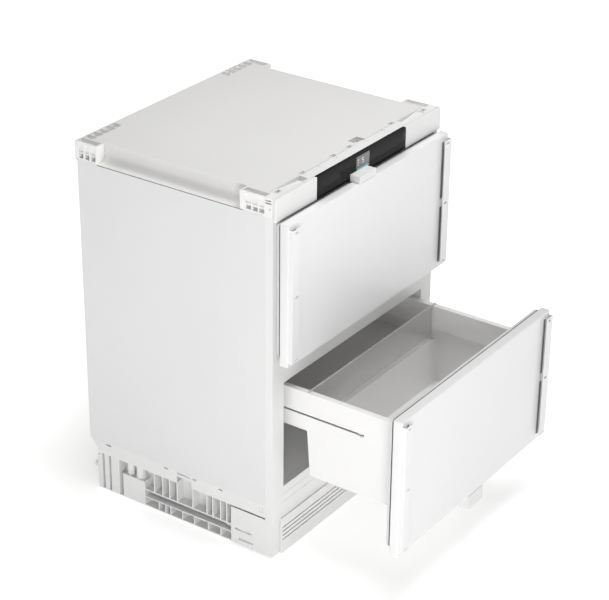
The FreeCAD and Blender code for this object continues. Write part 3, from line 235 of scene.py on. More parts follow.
finishes = {
    # skin: which height group, its scale, and the bump's strength and distance in metres; edge: width, amount
    # and colour of the painted highlight on the edges
    "caseSteel": {"slot": "case_steel", "tone": (0.735, 0.735, 0.74), "second": (0.765, 0.765, 0.765),
        "smooth": 0.34, "dull": 0.46,
        "skin": ("paint", 650.0, 0.22, 0.0002), "edge": (0.0014, 0.5, (0.93, 0.93, 0.93)),
        "dust": 0.05, "coat": 0.15},
    "frontSteel": {"slot": "white_steel", "tone": (0.80, 0.80, 0.805), "second": (0.825, 0.825, 0.825),
        "smooth": 0.30, "dull": 0.40,
        "skin": ("paint", 800.0, 0.18, 0.0002), "edge": (0.0016, 0.6, (0.96, 0.96, 0.96)),
        "dust": 0.03, "coat": 0.2},
    "whiteMoulding": {"slot": "white_plastic", "tone": (0.775, 0.775, 0.77), "second": (0.80, 0.80, 0.795),
        "smooth": 0.38, "dull": 0.5,
        "skin": ("grain", 900.0, 0.16, 0.0002), "edge": (0.0012, 0.55, (0.95, 0.95, 0.95)),
        "dust": 0.06},
    "paleMoulding": {"slot": "pale_plastic", "tone": (0.845, 0.84, 0.83), "second": (0.875, 0.87, 0.86),
        "smooth": 0.3, "dull": 0.42,
        "skin": ("grain", 1100.0, 0.12, 0.0002), "edge": (0.0012, 0.45, (0.90, 0.90, 0.89)),
        "dust": 0.03, "coat": 0.1},
    # the frame's white moulding made a little darker and warmer for the lid: painted shade on the lid's top
    "lidShadedMoulding": {"slot": "lid", "tone": (0.745, 0.74, 0.73), "second": (0.775, 0.77, 0.755), "smooth": 0.38,
        "dull": 0.5,
        "skin": ("grain", 900.0, 0.16, 0.0002), "edge": (0.0012, 0.55, (0.93, 0.93, 0.92)),
        "dust": 0.06},
    "gasketRubber": {"slot": "gasket_rubber", "tone": (0.66, 0.66, 0.655), "second": (0.72, 0.72, 0.715),
        "smooth": 0.5, "dull": 0.68,
        "skin": ("grain", 500.0, 0.2, 0.0003), "edge": (0.0008, 0.3, (0.85, 0.85, 0.85)),
        "dust": 0.08},
    "panelFoam": {"slot": "foam", "tone": (0.72, 0.62, 0.38), "second": (0.80, 0.72, 0.50), "smooth": 0.8,
        "dull": 0.95,
        "skin": ("grain", 260.0, 0.8, 0.0012), "edge": (0.003, 0.3, (0.88, 0.80, 0.6)), "dust": 0.1},
    "blackGlass": {"slot": "control_glass", "tone": (0.010, 0.010, 0.011), "second": (0.016, 0.016, 0.017),
        "smooth": 0.05, "dull": 0.14,
        "skin": ("paint", 40.0, 0.03, 0.0002), "edge": (0.0008, 0.25, (0.20, 0.20, 0.21)),
        "dust": 0.02, "specular": 0.07},
    "displayPanel": {"slot": "display_glass", "tone": (0.10, 0.10, 0.10), "second": (0.17, 0.165, 0.16),
        "smooth": 0.22, "dull": 0.36,
        "skin": ("brush", (3.0, 900.0, 1400.0), 0.25, 0.0002),
        "edge": (0.0005, 0.3, (0.3, 0.3, 0.3)), "coat": 0.5},
    "zincSteel": {"slot": "slide_steel", "tone": (0.55, 0.56, 0.57), "second": (0.68, 0.69, 0.70),
        "smooth": 0.28, "dull": 0.45, "metal": 0.9,
        "skin": ("brush", (5.0, 60.0, 900.0), 0.15, 0.0002),
        "edge": (0.0006, 0.5, (0.85, 0.85, 0.85)), "dust": 0.03},
    "blackSteel": {"slot": "black_steel", "tone": (0.022, 0.022, 0.023), "second": (0.035, 0.035, 0.036),
        "smooth": 0.3, "dull": 0.5,
        "skin": ("paint", 500.0, 0.35, 0.0003), "edge": (0.0012, 0.4, (0.18, 0.18, 0.18)),
        "dust": 0.25, "coat": 0.3},
    "blackRubber": {"slot": "black_rubber", "tone": (0.03, 0.03, 0.03), "second": (0.05, 0.05, 0.05),
        "smooth": 0.6, "dull": 0.8,
        "skin": ("grain", 700.0, 0.4, 0.0003), "edge": (0.001, 0.3, (0.12, 0.12, 0.12)),
        "dust": 0.2},
    # dark grey for the sheets that stand in for the shade inside the furniture strips: painted shade
    "greyShadow": {"slot": "tape", "tone": (0.16, 0.16, 0.158), "second": (0.21, 0.21, 0.205), "smooth": 0.5,
        "dull": 0.7,
        "skin": ("grain", 600.0, 0.4, 0.0003), "edge": (0.0006, 0.3, (0.35, 0.35, 0.35)),
        "dust": 0.05},
    "rolledAluminium": {"slot": "aluminium_plate", "tone": (0.72, 0.73, 0.74), "second": (0.82, 0.83, 0.84),
        "smooth": 0.25, "dull": 0.4,
        "metal": 1.0, "skin": ("brush", (6.0, 900.0, 900.0), 0.25, 0.0002),
        "edge": (0.0006, 0.3, (0.9, 0.9, 0.9))},
    "lampLens": {"slot": "light_lens", "tone": (0.86, 0.87, 0.88), "second": (0.92, 0.93, 0.94), "smooth": 0.2,
        "dull": 0.3,
        "skin": ("grain", 300.0, 0.2, 0.0004), "edge": (0.0008, 0.3, (1, 1, 1)), "coat": 0.2,
        "glow": 0.25},
    "smokedPlate": {"slot": "smoked_clear", "tone": (0.60, 0.59, 0.575), "second": (0.66, 0.65, 0.64),
        "smooth": 0.1, "dull": 0.18,
        "skin": ("paint", 200.0, 0.05, 0.0002), "edge": (0.0015, 0.8, (0.86, 0.88, 0.90)),
        "dust": 0.04,
        "alpha": (0.38, 0.50)},
}


dustColour = (0.62, 0.60, 0.57)


def newMaterial(name):
    material = bpy.data.materials.new(name)
    material.use_nodes = True
    tree = material.node_tree
    return material, tree, tree.nodes["Principled BSDF"], tree.nodes.new("ShaderNodeTexCoord").outputs["Object"]


def placeGroup(tree, where, key, **values):
    # one of the shared groups in a material, with its own values; _ in a name stands for a space
    node = tree.nodes.new("ShaderNodeGroup")
    node.node_tree = groups[key]
    tree.links.new(where, node.inputs["Vector"])
    for label, value in values.items():
        node.inputs[label.replace("_", " ")].default_value = value
    return node


def makeFinish(name, look):
    material, tree, shader, where = newMaterial(name)

    def placed(key, **values):
        return placeGroup(tree, where, key, **values)

    def mixedOver(below, above, mask):
        node = tree.nodes.new("ShaderNodeMix")
        node.data_type = "RGBA"
        tree.links.new(mask, node.inputs["Factor"])
        tree.links.new(below, node.inputs["A"])
        node.inputs["B"].default_value = (*above, 1)
        return node.outputs["Result"]

    tone = placed("tone", Tone=(*look["tone"], 1), Second_Tone=(*look["second"], 1), Smooth=look["smooth"],
                  Dull=look["dull"])
    # painted highlight: the edge mask mixes the tone towards each finish's brighter edge colour
    width, amount, bright = look["edge"]
    edgeLit = mixedOver(tone.outputs["Color"], bright,
                       placed("edge", Width=width, Amount=amount).outputs["Mask"])
    dusty = mixedOver(edgeLit, dustColour, placed("dust", Amount=look.get("dust", 0.0)).outputs["Mask"])
    tree.links.new(dusty, shader.inputs["Base Color"])
    tree.links.new(tone.outputs["Roughness"], shader.inputs["Roughness"])
    kind, scale, strength, distance = look["skin"]
    skin = placed(kind, **{{"brush": "Stretch", "paint": "Peel", "grain": "Cells"}[kind]: scale})
    bump = tree.nodes.new("ShaderNodeBump")
    bump.inputs["Strength"].default_value, bump.inputs["Distance"].default_value = strength, distance
    tree.links.new(skin.outputs["Height"], bump.inputs["Height"])
    tree.links.new(bump.outputs["Normal"], shader.inputs["Normal"])
    shader.inputs["Metallic"].default_value = look.get("metal", 0.0)
    shader.inputs["Coat Weight"].default_value = look.get("coat", 0.0)
    shader.inputs["Coat Roughness"].default_value = 0.12
    shader.inputs["Specular IOR Level"].default_value = look.get("specular", 0.5)
    if "glow" in look:
        shader.inputs["Emission Color"].default_value = (*look["tone"], 1)
        shader.inputs["Emission Strength"].default_value = look["glow"]
    if "alpha" in look:
        low, high = look["alpha"]
        cloud = maths(tree, "MULTIPLY_ADD", noiseOf(tree, where, 4.0, 2.0), high - low, low)
        tree.links.new(cloud, shader.inputs["Alpha"])
    return material


materials = {name: makeFinish(name, look) for name, look in finishes.items()}
slotMaterials = {look["slot"]: materials[name] for name, look in finishes.items()}
print("finishes made:", len(materials))


def gridFaces(rows, columns, closeRows=False, closeColumns=False):
    # quads between neighbouring rows and columns; a closed direction joins its last line to its first
    row = np.arange(rows if closeRows else rows - 1)[:, None]
    column = np.arange(columns if closeColumns else columns - 1)[None, :]
    nextRow, nextColumn = (row + 1) % rows, (column + 1) % columns
    corners = np.stack(np.broadcast_arrays(row * columns + column, row * columns + nextColumn,
                                           nextRow * columns + nextColumn, nextRow * columns + column), axis=-1)
    return corners.reshape(-1, 4).tolist()


def surface(points, closeRows=False, closeColumns=False, caps=()):
    # a grid of points as vertices and quads; caps name the rows ("first", "last") that get one flat face
    rows, columns = points.shape[:2]
    faces = gridFaces(rows, columns, closeRows, closeColumns)
    if "first" in caps:
        faces.append(list(range(columns)))
    if "last" in caps:
        faces.append([(rows - 1) * columns + k for k in range(columns)])
    return points.reshape(-1, 3), faces


def closed(rows):
    # rows of a tube or plate joined round, with a flat face on the first and on the last
    return surface(np.array(rows), closeColumns=True, caps=("first", "last"))


def ringAt(outline, y):
    # an (across, up) outline set upright at one depth
    return np.column_stack([outline[:, 0], np.full(len(outline), y), outline[:, 1]])


def slab(outline, depths):
    return closed([ringAt(outline, y) for y in depths])


def roundedLoop(left, right, low, high, radius, perCorner=6):
    # four quarter circles of one radius, whose centres lie inside the corners: (across, up) pairs, closed
    turn = (np.arange(4)[:, None] + np.linspace(0, 1, perCorner)[None, :]) * math.pi / 2
    centreA = np.array([right - radius, left + radius, left + radius, right - radius])[:, None]
    centreB = np.array([high - radius, high - radius, low + radius, low + radius])[:, None]
    return np.stack([centreA + radius * np.cos(turn), centreB + radius * np.sin(turn)], axis=-1).reshape(-1, 2)


def plateRings(box, profile, radius, tighten=1.0):
    # ring k is the box's front outline shrunk by inset k and set back by depth k from the box's front face
    (left, front, low), (right, back, high) = box
    rings = []
    for inset, depth in profile:
        loop = roundedLoop(left + inset, right - inset, low + inset, high - inset,
                           max(radius - inset * tighten, 0.0004))
        rings.append(ringAt(loop, front + depth))
    return np.array(rings)


def roundOver(inset, depth, radius, count=5, closing=False):
    # quarter circle from the flat face to the side, or from the side to the back when it is closing
    turn = np.linspace(0, math.pi / 2, count)
    if closing:
        return [(inset + radius * (1 - math.cos(a)), depth - radius * (1 - math.sin(a))) for a in turn]
    return [(inset + radius * (1 - math.sin(a)), depth + radius * (1 - math.cos(a))) for a in turn]


def turnedSurface(profile, centre, axis="z", count=48):
    # radius and height pairs carried round an axis
    profile = np.array(profile, float)
    turn = np.linspace(0, 2 * math.pi, count, endpoint=False)
    radius, height = profile[:, :1], np.repeat(profile[:, 1:], count, axis=1)
    across, along = radius * np.cos(turn), radius * np.sin(turn)
    order = {"z": (across, along, height), "y": (across, height, -along)}[axis]
    return np.stack(order, axis=-1) + np.array(centre)


def addPiece(name, parts, body, slotName, replaces=(), smoothAngle=38, material=None, bevel=0.0, segments=2,
             solid=0.0):
    mesh = bpy.data.meshes.new(name)
    points, faces, start = [], [], 0
    for partPoints, partFaces in parts:
        points.append(np.asarray(partPoints))
        faces.extend([[index + start for index in face] for face in partFaces])
        start += len(partPoints)
    mesh.from_pydata(np.concatenate(points).tolist(), [], faces)
    work = bmesh.new()
    work.from_mesh(mesh)
    bmesh.ops.remove_doubles(work, verts=work.verts, dist=1e-6)
    bmesh.ops.recalc_face_normals(work, faces=work.faces)
    work.to_mesh(mesh)
    work.free()
    return finishPiece(name, mesh, body, slotName, replaces, smoothAngle, material, bevel, segments, solid)


def finishPiece(name, mesh, body, slotName, replaces, smoothAngle, material, bevel, segments, solid=0.0):
    piece = bpy.data.objects.new(name, mesh)
    bpy.context.scene.collection.objects.link(piece)
    mesh.materials.clear()
    mesh.materials.append(material or slotMaterials[slotName])
    mesh.shade_smooth()
    mesh.set_sharp_from_angle(angle=math.radians(smoothAngle))
    if solid:
        wall = piece.modifiers.new("wall", "SOLIDIFY")
        wall.thickness, wall.offset = solid, 0.0
    if bevel:
        edges = piece.modifiers.new("roundEdges", "BEVEL")
        edges.width, edges.segments, edges.limit_method = bevel, segments, "ANGLE"
        edges.angle_limit = math.radians(40)
        edges.use_clamp_overlap = True
        even = piece.modifiers.new("evenNormals", "WEIGHTED_NORMAL")
        even.keep_sharp = True
    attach(piece, body)
    if replaces:
        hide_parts(*replaces)
    return piece


def softened(node, body, slotName, width, segments=2, material=None):
    # the node's own shape, merged and with its flat faces joined, so that its edges can be rounded
    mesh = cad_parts[node].data.copy()
    work = bmesh.new()
    work.from_mesh(mesh)
    bmesh.ops.remove_doubles(work, verts=work.verts, dist=2e-6)
    bmesh.ops.dissolve_limit(work, angle_limit=math.radians(0.6), verts=work.verts, edges=work.edges)
    bmesh.ops.recalc_face_normals(work, faces=work.faces)
    work.to_mesh(mesh)
    work.free()
    return finishPiece(node + ".rounded", mesh, body, slotName, (node,), 38, material, width, segments)


roundings = {
    # node: (body, slot, edge radius in metres)
    "side_panel_left": ("cabinet", "case_steel", 0.0004), "side_panel_right": ("cabinet", "case_steel", 0.0004),
    "front_frame": ("cabinet", "white_plastic", 0.0008),
    "top_lid": ("cabinet", "white_plastic", 0.0009),
    "fascia_carrier": ("cabinet", "white_plastic", 0.0004),
             "control_fascia": ("cabinet", "white_plastic", 0.0012),
    "upper_alignment_tab": ("upper_drawer", "white_plastic", 0.0004),
             "lower_alignment_tab": ("lower_drawer", "white_plastic", 0.0004),
    "upper_furniture_strips": ("upper_drawer", "white_steel", 0.0003),
             "lower_furniture_strips": ("lower_drawer", "white_steel", 0.0003),
    "upper_liner": ("cabinet", "pale_plastic", 0.0015), "lower_liner": ("cabinet", "pale_plastic", 0.0015),
    "upper_drawer_box": ("upper_drawer", "pale_plastic", 0.0009),
             "lower_drawer_box": ("lower_drawer", "pale_plastic", 0.0009),
    "base_frame_left": ("cabinet", "white_plastic", 0.0004),
             "base_frame_right": ("cabinet", "white_plastic", 0.0004),
    "front_foot_bracket_left": ("cabinet", "white_plastic", 0.0008),
             "front_foot_bracket_right": ("cabinet", "white_plastic", 0.0008),
    "air_grille": ("cabinet", "white_plastic", 0.0008), "air_duct_cover": ("cabinet", "white_plastic", 0.0010),
    "compressor_tray": ("cabinet", "slide_steel", 0.0005),
    "evaporation_pan": ("cabinet", "black_rubber", 0.0008), "mains_inlet": ("cabinet", "black_rubber", 0.0008),
}
# the top lid takes the darker lid moulding, which is painted shade
for node, (body, slotName, width) in roundings.items():
    softened(node, body, slotName, width, material=materials["lidShadedMoulding"] if node == "top_lid" else None)
print("rounded pieces:", len(roundings))

# size and reach of the dark bar of painted shade under the lid's edge
seam = {"height": 0.0011, "shadowFront": 0.070, "shadowBack": 0.436}


def buildSeamShadow(look):
    # dark bar under the lid's edge against the steel side, standing in for the shaded gap there: painted shade;
    # a flat rounded bar along each side
    (left, front, low), (right, back, high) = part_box("top_lid")
    parts = []
    for side in (-1, 1):
        outline = roundedLoop(-look["height"], look["height"] * 0.25, -look["height"] * 0.8,
                              look["height"] * 0.45, 0.0003, 3)
        face = side * right
        rows = [np.column_stack([face + side * (outline[:, 0] + 0.0001), np.full(len(outline), y),
                                 low + outline[:, 1]])
                for y in (look["shadowFront"], (look["shadowFront"] + look["shadowBack"]) / 2, look["shadowBack"])]
        parts.append(closed(rows))
    addPiece("lidSeamShadow", parts, "cabinet", "black_rubber")


buildSeamShadow(seam)

fronts = {
    "cornerRadius": 0.0022,
    "foldRadius": 0.0022,     # rolled edge round the steel face
    "coreBack": 0.0006,       # core behind the pan's rear edge
    "coreRadius": 0.0020,
    "sheet": 0.0010,
}


def buildFront(word, look):
    body = word + "_drawer"
    box = (left, front, low), (right, back, high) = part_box(word + "_front_panel")
    deep, fold = back - front, look["foldRadius"]
    crown = [(0.030, 0.00025), (0.012, 0.00008)]   # the sheet sinks a little towards its middle
    profile = crown + roundOver(0.0, 0.0, fold) + roundOver(0.0, deep, 0.0005, 3, True)
    profile += [(look["sheet"], deep), (look["sheet"], deep - 0.004)]
    rings = plateRings(box, profile, look["cornerRadius"])
    addPiece(word + "FrontSkin", [closed(rings)], body, "white_steel",
             (word + "_front_panel",), 30)
    inset = look["sheet"] + 0.0001
    depth = deep - 0.0045
    behind = deep - look["coreBack"]
    profile = [(inset, depth), (inset, behind - look["coreRadius"])]
    profile += roundOver(inset, behind, look["coreRadius"], 5, True)
    profile += [(0.034, behind), (0.036, behind - 0.0022), (0.060, behind - 0.0022), (0.063, behind)]
    rings = plateRings(box, profile, look["cornerRadius"])
    addPiece(word + "FrontLining", [closed(rings)], body, "white_plastic",
             (word + "_front_core",), 30)


gasket = {
    "sideWidth": 0.022, "topWidth": 0.016, "corner": 0.006, "cornerLoss": 0.0045,
    "lipSpan": 22.0, "lipRise": 12.3,
    # the lip's section: across and off the drawer front, in millimetres
    "lip": ((3.0, 0.0), (1.2, 0.5), (0.2, 2.6), (0.9, 4.4), (0.3, 6.2), (0.0, 8.4), (0.4, 10.6), (1.2, 12.0),
            (4.0, 12.3),
            (9.0, 12.1), (15.0, 12.3), (18.5, 11.6), (20.5, 9.8), (19.8, 8.0), (17.0, 6.8), (19.5, 5.4),
            (21.4, 3.6),
            (21.0, 1.2), (18.0, 0.0)),
}


def buildGasket(word, look):
    # lip profile: share of the way from the outer to the inner outline, and height off the drawer front
    (left, front, low), (right, back, high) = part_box(word + "_gasket")
    side, top, deep = look["sideWidth"], look["topWidth"], back - front
    lip = np.array(look["lip"]) / (look["lipSpan"], look["lipRise"])
    rings = []
    for share, height in lip:
        loop = roundedLoop(left + share * side, right - share * side, low + share * side, high - share * top,
                           look["corner"] - look["cornerLoss"] * share, 5)
        rings.append(ringAt(loop, front + height * deep))
    addPiece(word + "Seal", [surface(np.array(rings), closeRows=True, closeColumns=True)], word + "_drawer",
             "gasket_rubber",
             (word + "_gasket",), 50)


def buildSealShadow(word):
    # dark thin ring round the foot of the lip, standing in for the shade in the gap between the drawer front
    # and the seal: painted shade
    profile = [(-0.0006, 0.0), (-0.0006, 0.0050), (0.0002, 0.0056), (0.0012, 0.0056), (0.0012, 0.0)]
    rings = plateRings(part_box(word + "_gasket"), profile, 0.0066, 0.5)
    addPiece(word + "SealTrack", [surface(rings, closeRows=True, closeColumns=True)], word + "_drawer",
             "black_rubber", (), 40)


for word in ("upper", "lower"):
    buildFront(word, fronts)
    buildGasket(word, gasket)
    buildSealShadow(word)
print("drawer fronts and seals built")

control = {
    "glassCorner": 0.0030, "glassEdge": 0.0009,
    "displayCorner": 0.0020,
    "digit": 0.0095, "digitWidth": 0.0054, "stroke": 0.0009,
    "digitSegments": (0, 2, 3, 5, 6),     # a plain 5
    "barWidth": 0.044, "barHeight": 0.0050,
    "symbols": 3,
    "white": (0.85, 0.88, 0.90), "cyan": (0.12, 0.42, 0.54),
}


def litMaterial(name, colour, strength):
    material, tree, shader, where = newMaterial(name)
    node = placeGroup(tree, where, "tone", Tone=(*colour, 1), Second_Tone=(*(c * 0.85 for c in colour), 1),
                      Scale=90.0)
    tree.links.new(node.outputs["Color"], shader.inputs["Base Color"])
    tree.links.new(node.outputs["Color"], shader.inputs["Emission Color"])
    tree.links.new(node.outputs["Roughness"], shader.inputs["Roughness"])
    shader.inputs["Emission Strength"].default_value = strength
    return material


def segmentBar(centre, halfLong, halfThick, y, upright, depth):
    # a bar with pointed ends: six corners, carried a little way in depth
    long = np.array([-1, -1 + halfThick / halfLong, 1 - halfThick / halfLong, 1, 1 - halfThick / halfLong,
                     -1 + halfThick / halfLong]) * halfLong
    thick = np.array([0, 1, 1, 0, -1, -1]) * halfThick
    across, up = (thick, long) if upright else (long, thick)
    rows = [np.column_stack([centre[0] + across, np.full(6, y + step),
                             centre[1] + up]) for step in (0.0, -depth)]
    return closed(rows)


def buildControl(look):
    box = (left, front, low), (right, back, high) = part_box("control_glass")
    profile = [(0.02, 0.0)] + roundOver(0.0, 0.0, look["glassEdge"], 4) + [(0.0, back - front)]
    rings = plateRings(box, profile, look["glassCorner"], 0.5)
    addPiece("controlGlass", [closed(rings)], "cabinet", "control_glass",
             ("control_glass",), 30)
    (dLeft, _, dLow), (dRight, dBack, dHigh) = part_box("display")
    face = front - 0.0001
    profile = [(0.004, 0.0), (0.0006, 0.0), (0.0001, 0.0002), (0.0, 0.0012)]
    rings = plateRings(((dLeft, face, dLow), (dRight, dBack, dHigh)), profile, look["displayCorner"], 0.5)
    addPiece("displayPanel", [closed(rings)], "cabinet", "display_glass",
             ("display",), 30)
    midX, midZ = (dLeft + dRight) / 2, (dLow + dHigh) / 2 + 0.004
    half, tall = look["digitWidth"] / 2, look["digit"] / 4
    thick = look["stroke"] / 2
    places = (((midX, midZ + 2 * tall), half, False), ((midX + half, midZ + tall), tall, True),
              ((midX - half, midZ + tall), tall, True),
              ((midX, midZ), half, False), ((midX - half, midZ - tall), tall, True),
              ((midX + half, midZ - tall), tall, True),
              ((midX, midZ - 2 * tall), half, False))
    parts = [segmentBar(places[k][0], places[k][1] - thick * 0.6, thick, face, places[k][2],
                        0.0003) for k in look["digitSegments"]]
    for k in range(look["symbols"]):
        parts.append(segmentBar((dLeft + 0.007 + 0.0001 * k, dHigh - 0.008 - 0.0055 * k), 0.0022, 0.0005, face,
                                False, 0.0003))
    addPiece("displayDigit", parts, "cabinet", "display_glass", (), 30,
             litMaterial("whiteLight", look["white"], 0.35))
    bar = segmentBar((midX, dLow + 0.0045), look["barWidth"] / 2, look["barHeight"] / 2, face, False, 0.0003)
    addPiece("displayBar", [bar], "cabinet", "display_glass", (), 30,
             litMaterial("cyanLight", look["cyan"], 0.35))


buildControl(control)
print("control glass and display built")

divider = {"plate": 0.0013, "rib": 0.0004}


def buildDivider(look):
    # cross section: a thin plate with a round bead along its top, carried from side to side
    (left, front, low), (right, back, high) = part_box("drawer_divider")
    middle, bead = (front + back) / 2, (back - front) / 2
    turn = np.linspace(-0.30 * math.pi, 1.30 * math.pi, 15)
    section = [(look["plate"], low), (look["plate"] + look["rib"], low + 0.004),
               (look["plate"], high - 3.2 * bead)]
    section += [(bead * math.cos(a), high - bead + bead * math.sin(a)) for a in turn]
    section += [(-look["plate"], high - 3.2 * bead), (-look["plate"] - look["rib"], low + 0.004),
                (-look["plate"], low)]
    section = np.array(section)
    inner = left + 0.0150
    rows = []
    for x in (inner, inner + 0.001, -inner - 0.001, -inner):
        rows.append(np.column_stack([np.full(len(section), x), middle + section[:, 0], section[:, 1]]))
    body = closed(rows)
    ears = []
    for side in (-1, 1):
        outline = roundedLoop(-bead, bead, high - 2 * bead + 0.0002, high, 0.0012, 4)
        x = np.array([-inner - 0.001, -left - 0.0008, -left]) * side
        shrink = np.array([1.0, 1.0, 0.6])
        height = high - bead
        ring = [np.column_stack([np.full(len(outline), px), middle + outline[:, 0] * s,
                                 height + (outline[:, 1] - height) * s])
                for px, s in zip(x, shrink)]
        ears.append(closed(ring))
    addPiece("dividerPlate", [body] + ears, "lower_drawer", "smoked_clear", ("drawer_divider",), 45)


buildDivider(divider)

hardware = {
    "spindle": 0.0060, "thread": 0.0006, "pitch": 0.0015,
    "padTeeth": 24,
    "screwRadius": 0.0034, "crossArm": 0.0019, "crossWidth": 0.00055, "crossDepth": 0.0009, "dome": 0.0013,
    "innerScrews": (-0.055, 0.003),
    "rod": 0.0038, "rodThread": 0.0003, "rodPitch": 0.0040, "hexagon": 0.0024, "socketLength": 0.012,
}


def threaded(radius, depth, pitch, centre, start, end, axis, across=32):
    # radius + depth times a triangle wave of (height / pitch - turn): one helix cut round the bar
    rows = int((end - start) / pitch * 6)
    height = np.linspace(start, end, rows)[:, None]
    turn = np.linspace(0, 2 * math.pi, across, endpoint=False)[None, :]
    wave = np.abs(((height / pitch - turn / (2 * math.pi)) % 1.0) * 2 - 1)
    fade = np.clip(np.minimum(height - start, end - height) / (2 * pitch), 0, 1)
    r = radius - depth * wave * fade
    a, b, h = r * np.cos(turn), r * np.sin(turn), height + 0 * turn
    order = {"z": (a, b, h), "y": (a, h, -b)}[axis]
    return closed(np.stack(order, axis=-1) + np.array(centre))


def buildFoot(name, look):
    (left, front, low), (right, back, high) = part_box(name)
    x, y, r = (left + right) / 2, (front + back) / 2, (right - left) / 2
    spindle = threaded(look["spindle"], look["thread"], look["pitch"], (x, y, 0), low + 0.010, high, "z")
    addPiece(name + ".spindle", [spindle], name, "slide_steel", (name,), 60)
    turn = np.linspace(0, 2 * math.pi, look["padTeeth"] * 4, endpoint=False)
    ripple = 1 - 0.035 * (0.5 + 0.5 * np.cos(turn * look["padTeeth"]))   # small teeth to grip by
    profile = np.array([(0.0, 0.0), (0.86, 0.0), (0.97, 0.0008), (1.0, 0.0022), (1.0, 0.0075), (0.97, 0.0090),
                        (0.80, 0.0108),
                        (0.55, 0.0118), (0.42, 0.0119), (0.0, 0.0119)])
    rows = []
    for share, height in profile:
        local = np.where(share > 0.9, ripple, 1.0) * share * r
        rows.append(np.column_stack([x + local * np.cos(turn), y + local * np.sin(turn),
                                     np.full(len(turn), low + height)]))
    addPiece(name + ".pad", [surface(np.array(rows), closeColumns=True)], name, "black_rubber", (), 50)


def buildRod(name, look):
    (left, front, low), (right, back, high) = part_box(name)
    x, z = (left + right) / 2, (low + high) / 2
    r = (right - left) / 2
    shaft = threaded(look["rod"], look["rodThread"], look["rodPitch"], (x, 0, z), front + look["socketLength"],
                     back, "y", 20)
    turn = np.linspace(0, 2 * math.pi, 48, endpoint=False)
    hexagon = look["hexagon"] / np.cos((turn % (math.pi / 3)) - math.pi / 6)
    rows = []
    for kind, size, y in (("h", 1.0, front + 0.008), ("h", 1.0, front), ("o", 0.86, front),
                          ("o", 1.0, front + 0.0012),
                          ("o", 1.0, front + look["socketLength"]), ("o", 0.8, front + 0.0145),
                          ("o", 0.4, front + 0.0148)):
        radius = hexagon * size if kind == "h" else np.full(48, r * size)
        rows.append(np.column_stack([x + radius * np.cos(turn), np.full(48, y), z + radius * np.sin(turn)]))
    socket = closed(rows)
    addPiece(name + ".shaft", [shaft], name, "slide_steel", (name,), 50)
    addPiece(name + ".socket", [socket], name, "slide_steel", (), 40)


def buildScrews(look):
    # head height = dome of the radius, less a cross where either distance from an arm is small
    (left, front, low), (right, back, high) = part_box("carrier_screws")
    r = look["screwRadius"]
    y = (front + back) / 2
    places = (left + r, *look["innerScrews"], right - r)
    ring, turn = np.linspace(1.0, 0.0, 14)[:, None], np.linspace(0, 2 * math.pi, 40, endpoint=False)[None, :]
    a, b = ring * r * np.cos(turn), ring * r * np.sin(turn)
    dome = look["dome"] * np.sqrt(np.clip(1 - (ring * 0.93) ** 2, 0, 1))
    thin, long = look["crossWidth"], look["crossArm"]
    arm = ((np.abs(a) < thin) & (np.abs(b) < long)) | ((np.abs(b) < thin) & (np.abs(a) < long))
    height = dome - look["crossDepth"] * arm + 0 * a
    parts = []
    for x in places:
        head = np.stack([x + a, y + b, high - 0.0015 + height], axis=-1)
        parts.append(surface(head, closeColumns=True, caps=("first",)))
        parts.append(threaded(0.0018, 0.0004, 0.0010, (x, y, 0), low, high - 0.0014, "z", 16))
    addPiece("carrierScrews", parts, "cabinet", "slide_steel", ("carrier_screws",), 40)


for place in ("front_left", "front_right", "rear_left", "rear_right"):
    buildFoot("foot_" + place, hardware)
for hand in ("left", "right"):
    buildRod("adjusting_rod_" + hand, hardware)
buildScrews(hardware)
print("divider, feet, rods and screws built")

cooling = {"shellPower": 2.6, "seam": 0.0035, "blades": 7, "twist": 0.75, "tube": 0.0030,
           "bladeTip": 0.0435, "hub": 0.0140, "bladeWall": 0.0012}


def tubeAlong(path, radius, count=12):
    # a circle carried along a path, held square to it by two crossed directions
    path = np.array(path, float)
    along = np.gradient(path, axis=0)
    along /= np.linalg.norm(along, axis=1)[:, None]
    side = np.cross(along, (0.13, 0.21, 1.0))
    side /= np.linalg.norm(side, axis=1)[:, None]
    up = np.cross(side, along)
    turn = np.linspace(0, 2 * math.pi, count, endpoint=False)
    ring = side[:, None] * np.cos(turn)[None, :, None] + up[:, None] * np.sin(turn)[None, :, None]
    return closed(path[:, None] + radius * ring)


def buildCompressor(look):
    # shell radius follows a superellipse of the height, with a lapped weld seam at mid height
    (left, front, low), (right, back, high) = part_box("compressor")
    x, y = (left + right) / 2, (front + back) / 2
    r = (back - front) / 2 - 0.0005
    base, crown = low + 0.004, high
    t = np.linspace(-1, 1, 61)
    radius = r * np.clip(1 - np.abs(t) ** look["shellPower"], 0, 1) ** (1 / look["shellPower"])
    radius = radius * 0.965 + np.where(np.abs(t) < 0.05, look["seam"], 0.0)
    height = (base + crown) / 2 + t * (crown - base) / 2
    shell = turnedSurface(np.column_stack([radius, height]), (x, y, 0), count=64)
    plate = roundedLoop(left, right, y - 0.055, y + 0.055, 0.014)
    rows = [np.column_stack([plate, np.full(len(plate), z)]) for z in (low, low + 0.004)]
    parts = [surface(shell, closeColumns=True), closed(rows)]
    addPiece("compressorShell", parts, "cabinet", "black_steel", ("compressor",), 40)
    s = np.linspace(0, 1, 30)
    tubes = []
    for offset, lift in ((0.028, 0.030), (-0.022, 0.050)):
        bend = np.column_stack([x + r * 0.80 + 0.012 * np.sin(s * math.pi), y + offset + 0 * s,
                                low + lift + 0.040 * s])
        tubes.append(tubeAlong(bend, look["tube"]))
    addPiece("compressorTubes", tubes, "cabinet", "slide_steel", (), 50)


